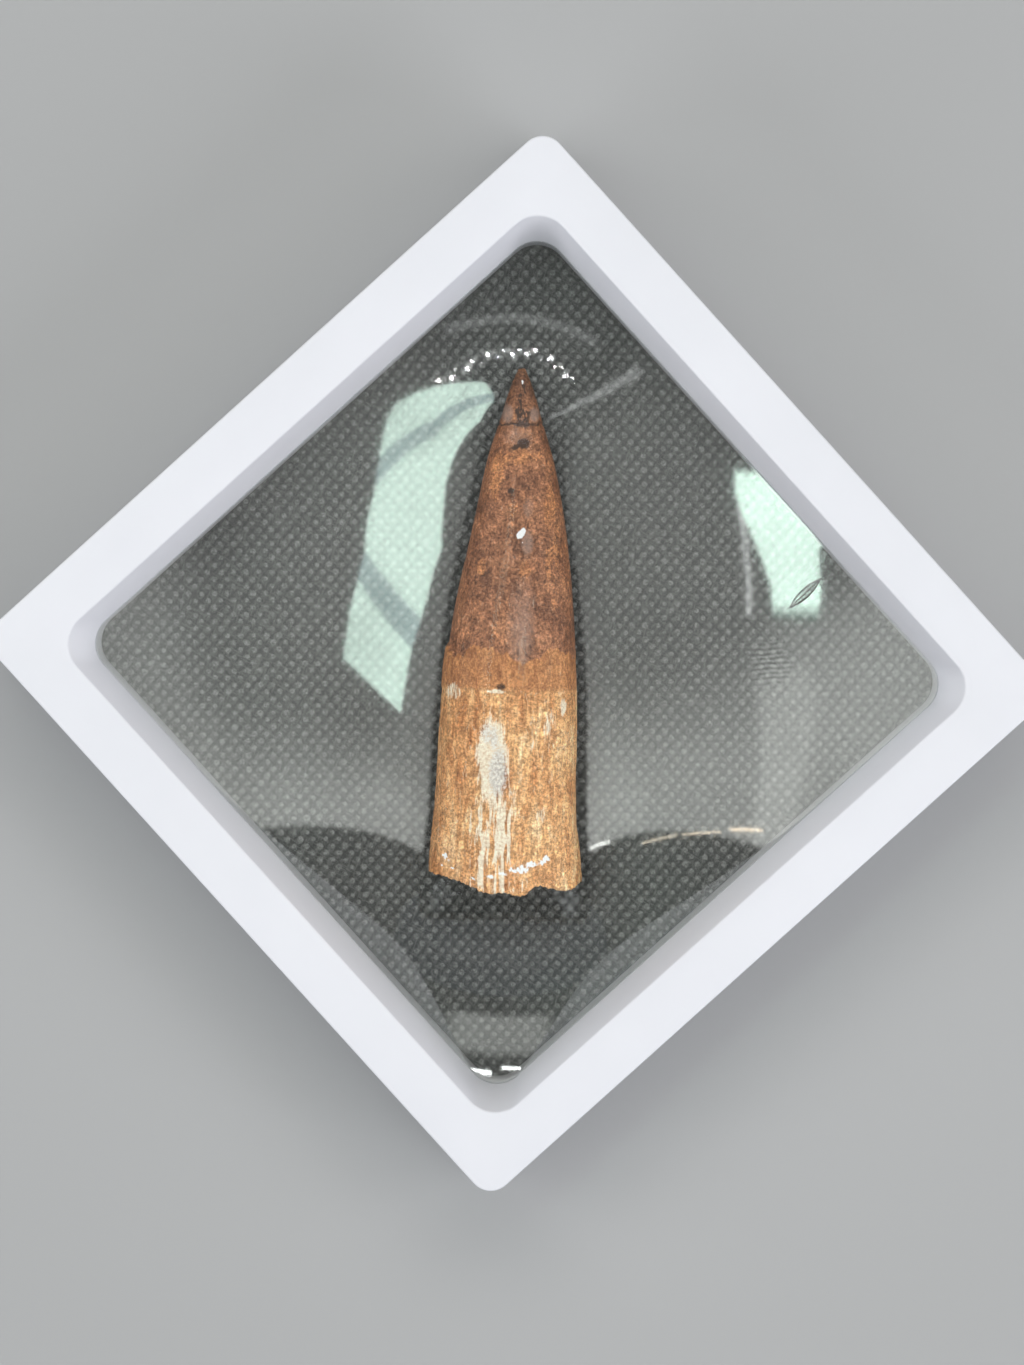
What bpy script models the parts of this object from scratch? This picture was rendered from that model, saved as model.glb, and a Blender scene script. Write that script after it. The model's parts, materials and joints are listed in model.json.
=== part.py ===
"""A fossil Spinosaurus tooth held between two clear films in a square plastic frame.

The frame lies on its back: its sides run along X and Y, its open front faces +Z, and the
origin is at the middle of its rear face. The tooth lies on the frame's diagonal, with its
tip towards the corner at +X +Y. All lengths are in metres.
"""
import math

import bmesh
import bpy
import numpy as np
from mathutils import Matrix, Vector

# Frame
FRAME_SIDE = 0.110
FRAME_DEPTH = 0.020
RIM_WIDTH = 0.0077
SLOPE_RUN = 0.0022
SLOPE_BOW = 0.44
LIP_HEIGHT = 0.0004
OUTER_CORNER = 0.0033
OPENING_CORNER = 0.0046
POCKET_CORNER = 0.0030
EDGE_ROUND = 0.0006
FIT_GAP = 0.0003
CORNER_STEPS = 6
EDGE_STEPS = 3

# Films
FILM_THICKNESS = 0.0003
FILM_CLAMP = 0.0038
FILM_CORNER_CUT = 0.0030
FILM_ROWS = 32
FILM_COLUMNS = 18
FILM_CROWDING = 0.72
FILM_END_SHARE = 0.5
FILM_CLEARANCE = 0.0005
MEMBRANE_CELLS = 112
MEMBRANE_SWEEPS = 500
MEMBRANE_RELAX = 1.92
FILM_PULL = 3.0

# Backing sheet
SHEET_THICKNESS = 0.0005
SHEET_OVERLAP = 0.0019
SHEET_RAISE = 0.0002
SHEET_CORNER = 0.0030

# Tooth
TOOTH_LENGTH = 0.0767
TOOTH_BASE_DROP = 0.0334
TOOTH_LEAN = math.radians(1.1)
TOOTH_SIDES = 44
TOOTH_TIP_RINGS = 7
TOOTH_TIP_END = 0.012
TOOTH_TIP_CROWDING = 1.7
TOOTH_CROWN_RINGS = 11
TOOTH_ROOT_RINGS = 13
TOOTH_SQUARENESS = 2.2
TOOTH_TIP_DROP = 0.0008
TOOTH_SIDE_BOW = 0.0003
TOOTH_LUMPS = 0.00008
LUMP_FADE = 0.015
LONG_LUMP_TURN = 90
SHORT_LUMP_TURN = 210
ROOT_GROOVES = 11
ROOT_GROOVE_DEPTH = 0.00012
ROOT_GROOVE_WANDER = 0.6
ROOT_GROOVE_TURN = 130
ROOT_START = 0.012
ENAMEL_END = 0.0415
ENAMEL_DIP = 0.0045
ENAMEL_WAVE = 0.0005
ENAMEL_LEDGE = 0.00035
BREAK_HOLLOW = 0.0022
BREAK_ROUGHNESS = 0.0004
BREAK_TWIST = 9

# Rings across the break: share of the outline, and share of the hollow's depth.
BREAK_RINGS = ((0.72, 0.35), (0.40, 0.90))

# Half width and half thickness of the tooth at distances from its tip.
TOOTH_STATIONS = (
    (0.0000, 0.00045, 0.00040),
    (0.0022, 0.00140, 0.00120),
    (0.0075, 0.00300, 0.00250),
    (0.0133, 0.00475, 0.00385),
    (0.0192, 0.00595, 0.00480),
    (0.0280, 0.00755, 0.00600),
    (0.0368, 0.00890, 0.00690),
    (0.0440, 0.00960, 0.00730),
    (0.0544, 0.01010, 0.00750),
    (0.0661, 0.01050, 0.00765),
    (0.0735, 0.01125, 0.00785),
    (0.0767, 0.01130, 0.00785),
)

# Chips and notches along the broken end: distance across the tooth, and how far the edge stands back.
BREAK_EDGE = (
    (-0.0113, 0.0024),
    (-0.0098, 0.0021),
    (-0.0070, 0.0011),
    (-0.0045, 0.0001),
    (0.0000, 0.0002),
    (0.0042, 0.0000),
    (0.0058, 0.0012),
    (0.0085, 0.0009),
    (0.0102, 0.0007),
    (0.0113, 0.0016),
)

# Pits in the front face: distance from the tip, distance across, radius and depth.
PITS = (
    (0.0110, 0.0004, 0.0010, 0.00030),
    (0.0181, -0.0013, 0.0009, 0.00025),
    (0.0464, -0.0018, 0.0014, 0.00060),
)

HALF_SIDE = FRAME_SIDE / 2
MID = FRAME_DEPTH / 2
SPLIT = FIT_GAP / 2
POCKET_DEPTH = FILM_THICKNESS + FIT_GAP
WINDOW_HALF = HALF_SIDE - RIM_WIDTH - SLOPE_RUN
FILM_HALF = WINDOW_HALF + FILM_CLAMP
POCKET_HALF = FILM_HALF + FIT_GAP
SHEET_HALF = WINDOW_HALF + SHEET_OVERLAP
REBATE_HALF = SHEET_HALF + FIT_GAP
REBATE_DEPTH = SHEET_RAISE + SHEET_THICKNESS + FIT_GAP
DIAGONAL = math.radians(-45)
TOOTH_TURN = DIAGONAL + TOOTH_LEAN


def clear_objects():
    for old in list(bpy.data.objects):
        bpy.data.objects.remove(old, do_unlink=True)


def make_collection(name):
    collection = bpy.data.collections.new(name)
    bpy.context.scene.collection.children.link(collection)
    return collection


def simple_material(name, colour, roughness, alpha=1.0):
    material = bpy.data.materials.new(name)
    material.use_nodes = True
    shader = material.node_tree.nodes["Principled BSDF"]
    shader.inputs["Base Color"].default_value = (*colour, 1.0)
    shader.inputs["Roughness"].default_value = roughness
    shader.inputs["Metallic"].default_value = 0.0
    shader.inputs["Alpha"].default_value = alpha
    return material


def add_object(name, mesh, collection, material):
    piece = bpy.data.objects.new(name, mesh)
    piece.data.materials.append(material)
    collection.objects.link(piece)
    return piece


def rounded_square(half, corner, height):
    """Points round a square with rounded corners, the same number for every size."""
    points = []
    for quarter in range(4):
        turn = Matrix.Rotation(quarter * math.pi / 2, 3, "Z")
        for step in range(CORNER_STEPS + 1):
            angle = step / CORNER_STEPS * math.pi / 2
            x = half - corner + corner * math.cos(angle)
            y = half - corner + corner * math.sin(angle)
            points.append(turn @ Vector((x, y, height)))
    return points


def ring_faces(mesh, lower, upper):
    """Quads between two rings of the same number of points."""
    count = len(lower)
    for index in range(count):
        after = (index + 1) % count
        mesh.faces.new((lower[index], lower[after], upper[after], upper[index]))


def finish_mesh(name, mesh, smooth_angle):
    bmesh.ops.recalc_face_normals(mesh, faces=mesh.faces)
    data = bpy.data.meshes.new(name)
    mesh.to_mesh(data)
    mesh.free()
    data.shade_smooth()
    data.set_sharp_from_angle(angle=smooth_angle)
    return data


def closed_moulding(name, sections):
    """A frame moulding: rounded squares joined one to the next and back to the first."""
    mesh = bmesh.new()
    rings = []
    for half, corner, height in sections:
        rings.append([mesh.verts.new(point) for point in rounded_square(half, corner, height)])
    for index, ring in enumerate(rings):
        ring_faces(mesh, ring, rings[(index + 1) % len(rings)])
    return finish_mesh(name, mesh, math.radians(40))


def rounded_edge(half, corner, height, inward, upward):
    """Sections that round an edge: it starts on the side wall and ends on the flat face."""
    sections = []
    for step in range(EDGE_STEPS + 1):
        angle = step / EDGE_STEPS * math.pi / 2
        side = EDGE_ROUND * (1 - math.cos(angle))
        rise = EDGE_ROUND * (1 - math.sin(angle))
        new_corner = corner - side if inward > 0 else corner + side
        sections.append((half - inward * side, new_corner, height - upward * rise))
    return sections


def front_frame_sections():
    foot = MID + SPLIT + POCKET_DEPTH
    lip = foot + LIP_HEIGHT
    opening = WINDOW_HALF + SLOPE_RUN
    middle_half = WINDOW_HALF + SLOPE_RUN * SLOPE_BOW
    middle = (lip + FRAME_DEPTH) / 2
    sections = [(HALF_SIDE, OUTER_CORNER, MID + SPLIT)]
    sections += rounded_edge(HALF_SIDE, OUTER_CORNER, FRAME_DEPTH, 1, 1)
    sections += rounded_edge(opening, OPENING_CORNER, FRAME_DEPTH, -1, 1)[::-1]
    sections += [
        (middle_half, OPENING_CORNER, middle),
        (WINDOW_HALF, OPENING_CORNER, lip),
        (WINDOW_HALF, OPENING_CORNER, foot),
        (POCKET_HALF, POCKET_CORNER, foot),
        (POCKET_HALF, POCKET_CORNER, MID + SPLIT),
    ]
    return sections


def back_frame_sections():
    floor = MID - SPLIT - POCKET_DEPTH
    sections = [(HALF_SIDE, OUTER_CORNER, MID - SPLIT)]
    sections += rounded_edge(HALF_SIDE, OUTER_CORNER, 0.0, 1, -1)
    sections += [
        (REBATE_HALF, SHEET_CORNER, 0.0),
        (REBATE_HALF, SHEET_CORNER, REBATE_DEPTH),
        (WINDOW_HALF, OPENING_CORNER, REBATE_DEPTH),
        (WINDOW_HALF, OPENING_CORNER, floor),
        (POCKET_HALF, POCKET_CORNER, floor),
        (POCKET_HALF, POCKET_CORNER, MID - SPLIT),
    ]
    return sections


def smooth_between(stations, column, where):
    """A smooth curve through one column of a list of stations."""
    known = np.array([station[0] for station in stations])
    values = np.array([station[column] for station in stations])
    slopes = np.gradient(values, known)
    where = np.clip(where, known[0], known[-1])
    index = np.clip(np.searchsorted(known, where) - 1, 0, len(known) - 2)
    span = known[index + 1] - known[index]
    t = (where - known[index]) / span
    start = (1 + 2 * t) * (1 - t) ** 2 * values[index] + t * (1 - t) ** 2 * span * slopes[index]
    end = t ** 2 * (3 - 2 * t) * values[index + 1] - t ** 2 * (1 - t) * span * slopes[index + 1]
    return start + end


def tooth_depth_offset(from_tip):
    """The tooth's gentle curve: its tip bends towards the back."""
    return -TOOTH_TIP_DROP * (1 - from_tip / TOOTH_LENGTH) ** 2


def tooth_side_offset(from_tip):
    return TOOTH_SIDE_BOW * np.sin(2 * math.pi * from_tip / TOOTH_LENGTH)


def film_obstacle(x, y, front):
    """Height of the tooth above the films' plane at points of the window, with clearance."""
    from_base_x = x + TOOTH_BASE_DROP / math.sqrt(2)
    from_base_y = y + TOOTH_BASE_DROP / math.sqrt(2)
    across = from_base_x * math.cos(TOOTH_TURN) + from_base_y * math.sin(TOOTH_TURN)
    along = from_base_y * math.cos(TOOTH_TURN) - from_base_x * math.sin(TOOTH_TURN)
    from_tip = TOOTH_LENGTH - along
    across = across - tooth_side_offset(np.clip(from_tip, 0, TOOTH_LENGTH))
    wide = smooth_between(TOOTH_STATIONS, 1, from_tip) + FILM_CLEARANCE
    deep = smooth_between(TOOTH_STATIONS, 2, from_tip) + FILM_CLEARANCE
    share = np.clip(np.abs(across) / wide, 0, 1)
    height = deep * (1 - share ** TOOTH_SQUARENESS) ** (1 / TOOTH_SQUARENESS)
    offset = tooth_depth_offset(np.clip(from_tip, 0, TOOTH_LENGTH))
    height = height + (offset if front else -offset)
    beside = (from_tip > -FILM_CLEARANCE) & (from_tip < TOOTH_LENGTH + FILM_CLEARANCE)
    return np.where(beside & (share < 1), height, 0.0)


def inside_window(x, y):
    """True inside the window with its rounded corners."""
    core = WINDOW_HALF - OPENING_CORNER
    over_x = np.maximum(np.abs(x) - core, 0)
    over_y = np.maximum(np.abs(y) - core, 0)
    return np.hypot(over_x, over_y) < OPENING_CORNER


def stretch_membrane(front):
    """Relax a stretched skin over the tooth, held flat all round the window.

    It is drawn slightly inwards, so that it sinks between the tooth and the frame.
    """
    places = np.linspace(-WINDOW_HALF, WINDOW_HALF, MEMBRANE_CELLS + 1)
    pull = FILM_PULL * (places[1] - places[0]) ** 2 / 4
    x, y = np.meshgrid(places, places, indexing="ij")
    free = inside_window(x, y)
    floor = np.where(free, film_obstacle(x, y, front), 0.0)
    height = floor.copy()
    rows, columns = np.indices(height.shape)
    for sweep in range(MEMBRANE_SWEEPS):
        for parity in (0, 1):
            mean = np.zeros_like(height)
            mean[1:-1, :] = height[2:, :] + height[:-2, :]
            mean[:, 1:-1] += height[:, 2:] + height[:, :-2]
            moved = np.maximum(height + MEMBRANE_RELAX * (mean / 4 - pull - height), floor)
            height = np.where(free & ((rows + columns) % 2 == parity), moved, height)
    return height


def sample_membrane(height, x, y):
    """Height of the skin between the points where it was worked out."""
    cell = 2 * WINDOW_HALF / MEMBRANE_CELLS
    column = np.clip((x + WINDOW_HALF) / cell, 0, MEMBRANE_CELLS - 1e-6)
    row = np.clip((y + WINDOW_HALF) / cell, 0, MEMBRANE_CELLS - 1e-6)
    i, j = int(column), int(row)
    a, b = column - i, row - j
    near = height[i, j] * (1 - b) + height[i, j + 1] * b
    far = height[i + 1, j] * (1 - b) + height[i + 1, j + 1] * b
    return near * (1 - a) + far * a


def window_reach(up):
    """Half width of the window, seen as a diamond, at a distance along its diagonal."""
    core = (WINDOW_HALF - OPENING_CORNER) * math.sqrt(2)
    bend = OPENING_CORNER / math.sqrt(2)
    up = abs(up)
    if up < bend:
        return core + math.sqrt(OPENING_CORNER ** 2 - up ** 2)
    if up < core + bend:
        return WINDOW_HALF * math.sqrt(2) - up
    return math.sqrt(max(OPENING_CORNER ** 2 - (up - core) ** 2, 0.0))


def film_reach(up):
    """Half width of the whole film, with its four corners cut off."""
    tip = FILM_HALF * math.sqrt(2)
    return min(tip - abs(up), tip - FILM_CORNER_CUT)


def film_place(row_share, column_share):
    """Where a grid point of the film goes: rows lie across the diagonal, closest over the tooth."""
    up = row_share * (FILM_HALF * math.sqrt(2) - FILM_CORNER_CUT)
    edge = film_reach(up)
    window = max(window_reach(up), FILM_END_SHARE * edge)
    inner = 1 - 2 / FILM_COLUMNS
    if abs(column_share) > inner + 1e-6:
        across = math.copysign(edge, column_share)
    else:
        share = column_share / inner
        across = window * share * (1 - FILM_CROWDING * (1 - share ** 2))
    return up, across


def make_film(name, front, collection, material):
    bpy.ops.mesh.primitive_grid_add(x_subdivisions=FILM_COLUMNS, y_subdivisions=FILM_ROWS, size=2)
    film = bpy.context.active_object
    film.name = name
    film.data.name = name
    height = stretch_membrane(front)
    side = 1 if front else -1
    for vertex in film.data.vertices:
        up, across = film_place(vertex.co.y, vertex.co.x)
        x = (up + across) / math.sqrt(2)
        y = (up - across) / math.sqrt(2)
        lift = 0.0
        if inside_window(x, y):
            lift = sample_membrane(height, x, y)
        vertex.co = (x, y, side * (SPLIT + lift))
    film.location.z = MID
    if not front:
        film.data.flip_normals()
    film.data.shade_smooth()
    film.data.materials.append(material)
    wall = film.modifiers.new("Film thickness", "SOLIDIFY")
    wall.thickness = FILM_THICKNESS
    wall.offset = 1.0
    for owner in film.users_collection:
        owner.objects.unlink(film)
    collection.objects.link(film)
    return film


def make_backing_sheet(collection, material):
    mesh = bmesh.new()
    bmesh.ops.create_cube(mesh, size=1.0)
    size = Vector((2 * SHEET_HALF, 2 * SHEET_HALF, SHEET_THICKNESS))
    bmesh.ops.scale(mesh, vec=size, verts=mesh.verts)
    upright = [edge for edge in mesh.edges if abs(edge.verts[0].co.z - edge.verts[1].co.z) > 1e-5]
    bmesh.ops.bevel(mesh, geom=upright, offset=SHEET_CORNER, segments=CORNER_STEPS, affect="EDGES")
    data = finish_mesh("backing_sheet", mesh, math.radians(40))
    sheet = add_object("backing_sheet", data, collection, material)
    sheet.location.z = SHEET_RAISE + SHEET_THICKNESS / 2
    return sheet


def enamel_edge(angle):
    """Distance from the tip to the crown's lower edge, which dips in the middle of both faces."""
    face = abs(math.sin(angle))
    wobble = ENAMEL_WAVE * math.sin(5 * angle + 0.7)
    return ENAMEL_END + ENAMEL_DIP * face ** 6 + wobble


def broken_edge(across):
    return float(smooth_between(BREAK_EDGE, 1, np.float64(across)))


def root_grooves(from_tip, angle):
    """Shallow lengthwise grooves that deepen down the root."""
    share = max(0.0, (from_tip - enamel_edge(angle)) / (TOOTH_LENGTH - ENAMEL_END))
    wander = ROOT_GROOVE_WANDER * math.sin(from_tip * ROOT_GROOVE_TURN)
    return -ROOT_GROOVE_DEPTH * share * (1 + math.sin(ROOT_GROOVES * angle + wander))


def pit_depth(from_tip, across, angle):
    """How far the pits of the front face go in at a point."""
    depth = 0.0
    if math.sin(angle) > 0:
        for along, side, radius, deep in PITS:
            apart = math.hypot(from_tip - along, across - side) / radius
            depth += deep * math.exp(-apart ** 2)
    return depth


def tooth_point(from_tip, angle, swell=0.0, shrink=1.0):
    """A point on the tooth, with the tip towards +Y and the front face towards +Z."""
    wide = float(smooth_between(TOOTH_STATIONS, 1, np.float64(from_tip)))
    deep = float(smooth_between(TOOTH_STATIONS, 2, np.float64(from_tip)))
    side = abs(math.cos(angle) / wide) ** TOOTH_SQUARENESS
    face = abs(math.sin(angle) / deep) ** TOOTH_SQUARENESS
    radius = (side + face) ** (-1 / TOOTH_SQUARENESS)
    lumps = math.sin(2 * angle + from_tip * LONG_LUMP_TURN)
    lumps += math.sin(5 * angle - from_tip * SHORT_LUMP_TURN)
    fade = min(1.0, from_tip / LUMP_FADE)
    radius += fade * (swell + TOOTH_LUMPS * lumps) + root_grooves(from_tip, angle)
    radius -= pit_depth(from_tip, radius * math.cos(angle), angle)
    x = radius * shrink * math.cos(angle) + float(tooth_side_offset(from_tip))
    z = radius * shrink * math.sin(angle) + tooth_depth_offset(from_tip)
    return Vector((x, TOOTH_LENGTH - from_tip, z))


def tooth_rings():
    """Rings of the tooth from the tip to the broken end, and then inwards across the break."""
    angles = [index / TOOTH_SIDES * 2 * math.pi for index in range(TOOTH_SIDES)]
    rings = []
    for step in range(1, TOOTH_TIP_RINGS + 1):
        from_tip = TOOTH_TIP_END * (step / TOOTH_TIP_RINGS) ** TOOTH_TIP_CROWDING
        rings.append([tooth_point(from_tip, angle) for angle in angles])
    for step in range(1, TOOTH_CROWN_RINGS + 1):
        share = step / TOOTH_CROWN_RINGS
        ring = []
        for angle in angles:
            from_tip = TOOTH_TIP_END + share * (enamel_edge(angle) - TOOTH_TIP_END)
            ring.append(tooth_point(from_tip, angle))
        rings.append(ring)
    for step in range(TOOTH_ROOT_RINGS + 1):
        share = ROOT_START + (1 - ROOT_START) * step / TOOTH_ROOT_RINGS
        ring = []
        for angle in angles:
            start = enamel_edge(angle)
            across = tooth_point(TOOTH_LENGTH, angle).x
            end = TOOTH_LENGTH - broken_edge(across)
            swell = ENAMEL_LEDGE * max(0.0, -math.cos(angle)) * (1 - share)
            swell -= 0.5 * ENAMEL_LEDGE * max(0.0, math.sin(angle)) * (1 - share)
            ring.append(tooth_point(start + share * (end - start), angle, swell))
        rings.append(ring)
    for shrink, hollow in BREAK_RINGS:
        ring = []
        for angle in angles:
            across = tooth_point(TOOTH_LENGTH, angle).x
            end = TOOTH_LENGTH - broken_edge(across) * shrink
            point = tooth_point(end, angle, 0.0, shrink)
            crumble = BREAK_ROUGHNESS * math.sin(4 * angle + shrink * BREAK_TWIST)
            point.y += BREAK_HOLLOW * hollow + crumble
            ring.append(point)
        rings.append(ring)
    return rings


def make_tooth(collection, material):
    mesh = bmesh.new()
    rings = [[mesh.verts.new(point) for point in ring] for ring in tooth_rings()]
    for ring, after in zip(rings, rings[1:]):
        ring_faces(mesh, ring, after)
    tip = mesh.verts.new(Vector((0.0, TOOTH_LENGTH, -TOOTH_TIP_DROP)))
    end = mesh.verts.new(Vector((0.0, BREAK_HOLLOW, 0.0)))
    for index in range(TOOTH_SIDES):
        after = (index + 1) % TOOTH_SIDES
        mesh.faces.new((rings[0][after], rings[0][index], tip))
        mesh.faces.new((rings[-1][index], rings[-1][after], end))
    tooth = add_object("tooth", finish_mesh("tooth", mesh, math.radians(50)), collection, material)
    drop = TOOTH_BASE_DROP / math.sqrt(2)
    tooth.location = (-drop, -drop, MID)
    tooth.rotation_euler.z = TOOTH_TURN
    return tooth


def main():
    clear_objects()
    parts = make_collection("framed_spinosaurus_tooth")
    white = simple_material("White frame plastic", (0.80, 0.80, 0.84), 0.35)
    clear = simple_material("Clear film", (0.9, 0.93, 0.92), 0.05, 0.15)
    fossil = simple_material("Fossil tooth", (0.33, 0.16, 0.07), 0.5)
    dark = simple_material("Dark dotted sheet", (0.05, 0.05, 0.05), 0.8)
    add_object("front_frame", closed_moulding("front_frame", front_frame_sections()), parts, white)
    add_object("back_frame", closed_moulding("back_frame", back_frame_sections()), parts, white)
    make_film("front_film", True, parts, clear)
    make_film("back_film", False, parts, clear)
    make_backing_sheet(parts, dark)
    make_tooth(parts, fossil)


main()
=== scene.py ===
"""The looks of a fossil Spinosaurus tooth held between two clear films in a square white frame.

The frame lies on its back on a pale floor and is seen from straight above. All lengths are in
metres. The tooth has an axis of its own: from_tip runs down it from the tip, across runs to the
right of it, and the angle round it is 0 on the right and 90 degrees on the front face.
"""
import json
import math

import bmesh
import bpy
import numpy as np
from mathutils import Matrix, Vector, noise

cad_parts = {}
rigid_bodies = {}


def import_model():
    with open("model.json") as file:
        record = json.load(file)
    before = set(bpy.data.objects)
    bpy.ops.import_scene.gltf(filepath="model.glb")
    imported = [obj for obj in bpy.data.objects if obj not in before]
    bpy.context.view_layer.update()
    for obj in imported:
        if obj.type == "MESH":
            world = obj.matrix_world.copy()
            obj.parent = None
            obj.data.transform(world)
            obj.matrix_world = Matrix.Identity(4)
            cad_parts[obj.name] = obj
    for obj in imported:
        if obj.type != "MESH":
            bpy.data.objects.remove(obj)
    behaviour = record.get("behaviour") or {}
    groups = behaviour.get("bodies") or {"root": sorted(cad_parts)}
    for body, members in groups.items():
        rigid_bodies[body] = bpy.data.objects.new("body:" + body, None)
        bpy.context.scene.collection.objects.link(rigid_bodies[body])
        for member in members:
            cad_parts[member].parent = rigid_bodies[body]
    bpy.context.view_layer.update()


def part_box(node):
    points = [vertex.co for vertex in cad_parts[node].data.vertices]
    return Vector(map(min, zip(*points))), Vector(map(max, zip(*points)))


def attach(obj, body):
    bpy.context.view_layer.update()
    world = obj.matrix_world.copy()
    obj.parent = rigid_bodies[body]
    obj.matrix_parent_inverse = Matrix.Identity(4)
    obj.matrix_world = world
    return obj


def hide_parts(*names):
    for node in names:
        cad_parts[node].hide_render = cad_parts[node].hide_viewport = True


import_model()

# Frame
FRONT_LOW, FRONT_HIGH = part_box("front_frame")
BACK_LOW, BACK_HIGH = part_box("back_frame")
SHEET_LOW, SHEET_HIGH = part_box("backing_sheet")
HALF_SIDE = FRONT_HIGH.x
FRAME_TOP = FRONT_HIGH.z
MID = (FRONT_LOW.z + BACK_HIGH.z) / 2
RIM_WIDTH = 0.0077
SLOPE_RUN = 0.0022
WINDOW_HALF = HALF_SIDE - RIM_WIDTH - SLOPE_RUN
OUTER_CORNER = 0.0033
OPENING_CORNER = 0.0046
RIM_ROUND = 0.0005
BACK_ROUND = 0.0003
SEAM_GAP = 0.00004
CORNER_SEGMENTS = 14
POCKET_DEPTH = 0.0006
LIP_HEIGHT = 0.0006
SLOPE_BOW = 0.44
CUTTER_REACH = 0.001
SHEET_FIT = 0.0003
SHEET_ROUND = 0.0001

# Films
FILM_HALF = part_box("front_film")[1].x
FILM_THICKNESS = 0.00016
FILM_LIFT = 0.0002
FILM_CELLS = 216
FILM_CLEARANCE = 0.0004
MEMBRANE_SWEEPS = 900
MEMBRANE_RELAX = 1.96
FILM_PULL = -3.0
COVER_SPREAD = 3
COVER_MARGIN = 0.0011
COVER_BELOW = 0.0040
SLANT_MIRROR = 0.85
CREASE_START = (0.0353, -0.0207, 0.0)
CREASE_LENGTH = 0.0060
CREASE_TURN = math.radians(1)
CREASE_HALF_WIDTH = 0.00060
CREASE_EDGE = 0.00013
CREASE_HEIGHT = 0.00005
RIPPLE_PLACE = (0.0270, -0.0248)
RIPPLE_REACH = 0.0036
RIPPLE_TURN = 0.9

# Tooth
TOOTH_LENGTH = 0.0767
TOOTH_BASE_DROP = 0.0334
TOOTH_TURN = math.radians(-45 + 1.1)
TOOTH_SQUARENESS = 2.2
TOOTH_TIP_DROP = 0.0008
TOOTH_SIDE_BOW = 0.0003
TOOTH_LUMPS = 0.00016
ROOT_GROOVES = 11
ROOT_GROOVE_DEPTH = 0.00012
ENAMEL_END = 0.0415
ENAMEL_DIP = 0.0008
ENAMEL_LEDGE = 0.00035
ENAMEL_WAVE = 0.0005
ENAMEL_RAGGED = 0.0012
ENAMEL_STEP = 0.0004
BREAK_HOLLOW = 0.0022
BREAK_CRUMBLE = 0.0007
EDGE_CRUMBLE = 0.00025
CHIP_REACH = 0.004
CHIP_DEPTH = 0.0009
SMOOTH_TIP = 0.015
TIP_SHADE = 0.0105
CRACK_PLACE = 0.0082
CRACK_DEPTH = 0.00012
CRACK_WIDTH = 0.00028
CRACK_SLANT = 0.05
CRACK_WANDER = 0.0004
PLATE_END = 0.0470
PLATE_RISE = 0.00014
PLATE_WANDER = 0.0004
PLATE_STEP = 0.0003
PLATE_REACH = 0.004
STAIN_FADE = 0.0016
TOOTH_SIDES = 288
TOOTH_RINGS = 320
SIDE_SHARE = 0.87
RING_SPREAD = 1.12

# Roughness of the tooth: bumps in a metre across, along and in depth, and the height of each kind
# on the root and on the enamel.
FIBRE_BUMPS = (1500, 130, 1500)
COARSE_BUMPS = (420, 90, 420)
GRAIN_BUMPS = (2600, 1500, 2600)
ENAMEL_EDGE_BUMPS = (420, 60, 420)
CHIP_BUMPS = (700, 500, 700)
BREAK_BUMPS = (500, 500, 500)
ROOT_FIBRES = 0.00010
ROOT_COARSE = 0.00009
ENAMEL_FIBRES = 0.00003
ENAMEL_COARSE = 0.00004
GRAIN_HEIGHT = 0.000025

# Half width and half thickness of the tooth at distances from its tip.
TOOTH_STATIONS = (
    (0.0000, 0.00045, 0.00040),
    (0.0022, 0.00140, 0.00120),
    (0.0075, 0.00300, 0.00250),
    (0.0133, 0.00475, 0.00385),
    (0.0192, 0.00595, 0.00480),
    (0.0280, 0.00755, 0.00600),
    (0.0368, 0.00890, 0.00690),
    (0.0440, 0.00960, 0.00730),
    (0.0544, 0.01010, 0.00750),
    (0.0661, 0.01050, 0.00765),
    (0.0735, 0.01125, 0.00785),
    (0.0767, 0.01130, 0.00785),
)

# Chips and notches along the broken end: distance across, and how far the edge stands back.
BREAK_EDGE = (
    (-0.0113, 0.0024),
    (-0.0098, 0.0021),
    (-0.0070, 0.0011),
    (-0.0045, 0.0001),
    (0.0000, 0.0002),
    (0.0042, 0.0000),
    (0.0058, 0.0012),
    (0.0085, 0.0009),
    (0.0102, 0.0007),
    (0.0113, 0.0016),
)

# Pits in the front face: distance from the tip, distance across, radius and depth.
PITS = (
    (0.0110, 0.0004, 0.0009, 0.00030),
    (0.0181, -0.0013, 0.0006, 0.00025),
    (0.0464, -0.0018, 0.0011, 0.00060),
)

# Painted highlights near the broken end, white glints of the film where it bends over the edge: distance
# from the tip, distance across, half length and width.
PAINTED_BASE_GLINTS = (
    (0.0716, -0.0089, 0.0006, 0.0004),
    (0.0722, -0.0083, 0.0004, 0.0003),
    (0.0732, -0.0081, 0.0002, 0.0006),
    (0.0729, -0.0093, 0.0002, 0.0003),
    (0.0713, 0.0060, 0.0006, 0.0006),
    (0.0719, 0.0052, 0.0005, 0.0006),
    (0.0722, 0.0038, 0.0005, 0.0009),
    (0.0729, 0.0026, 0.0008, 0.0010),
    (0.0731, 0.0012, 0.0004, 0.0010),
    (0.0737, -0.0004, 0.0003, 0.0012),
    (0.0742, -0.0022, 0.0003, 0.0008),
    (0.0746, -0.0045, 0.0002, 0.0007),
)

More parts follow.
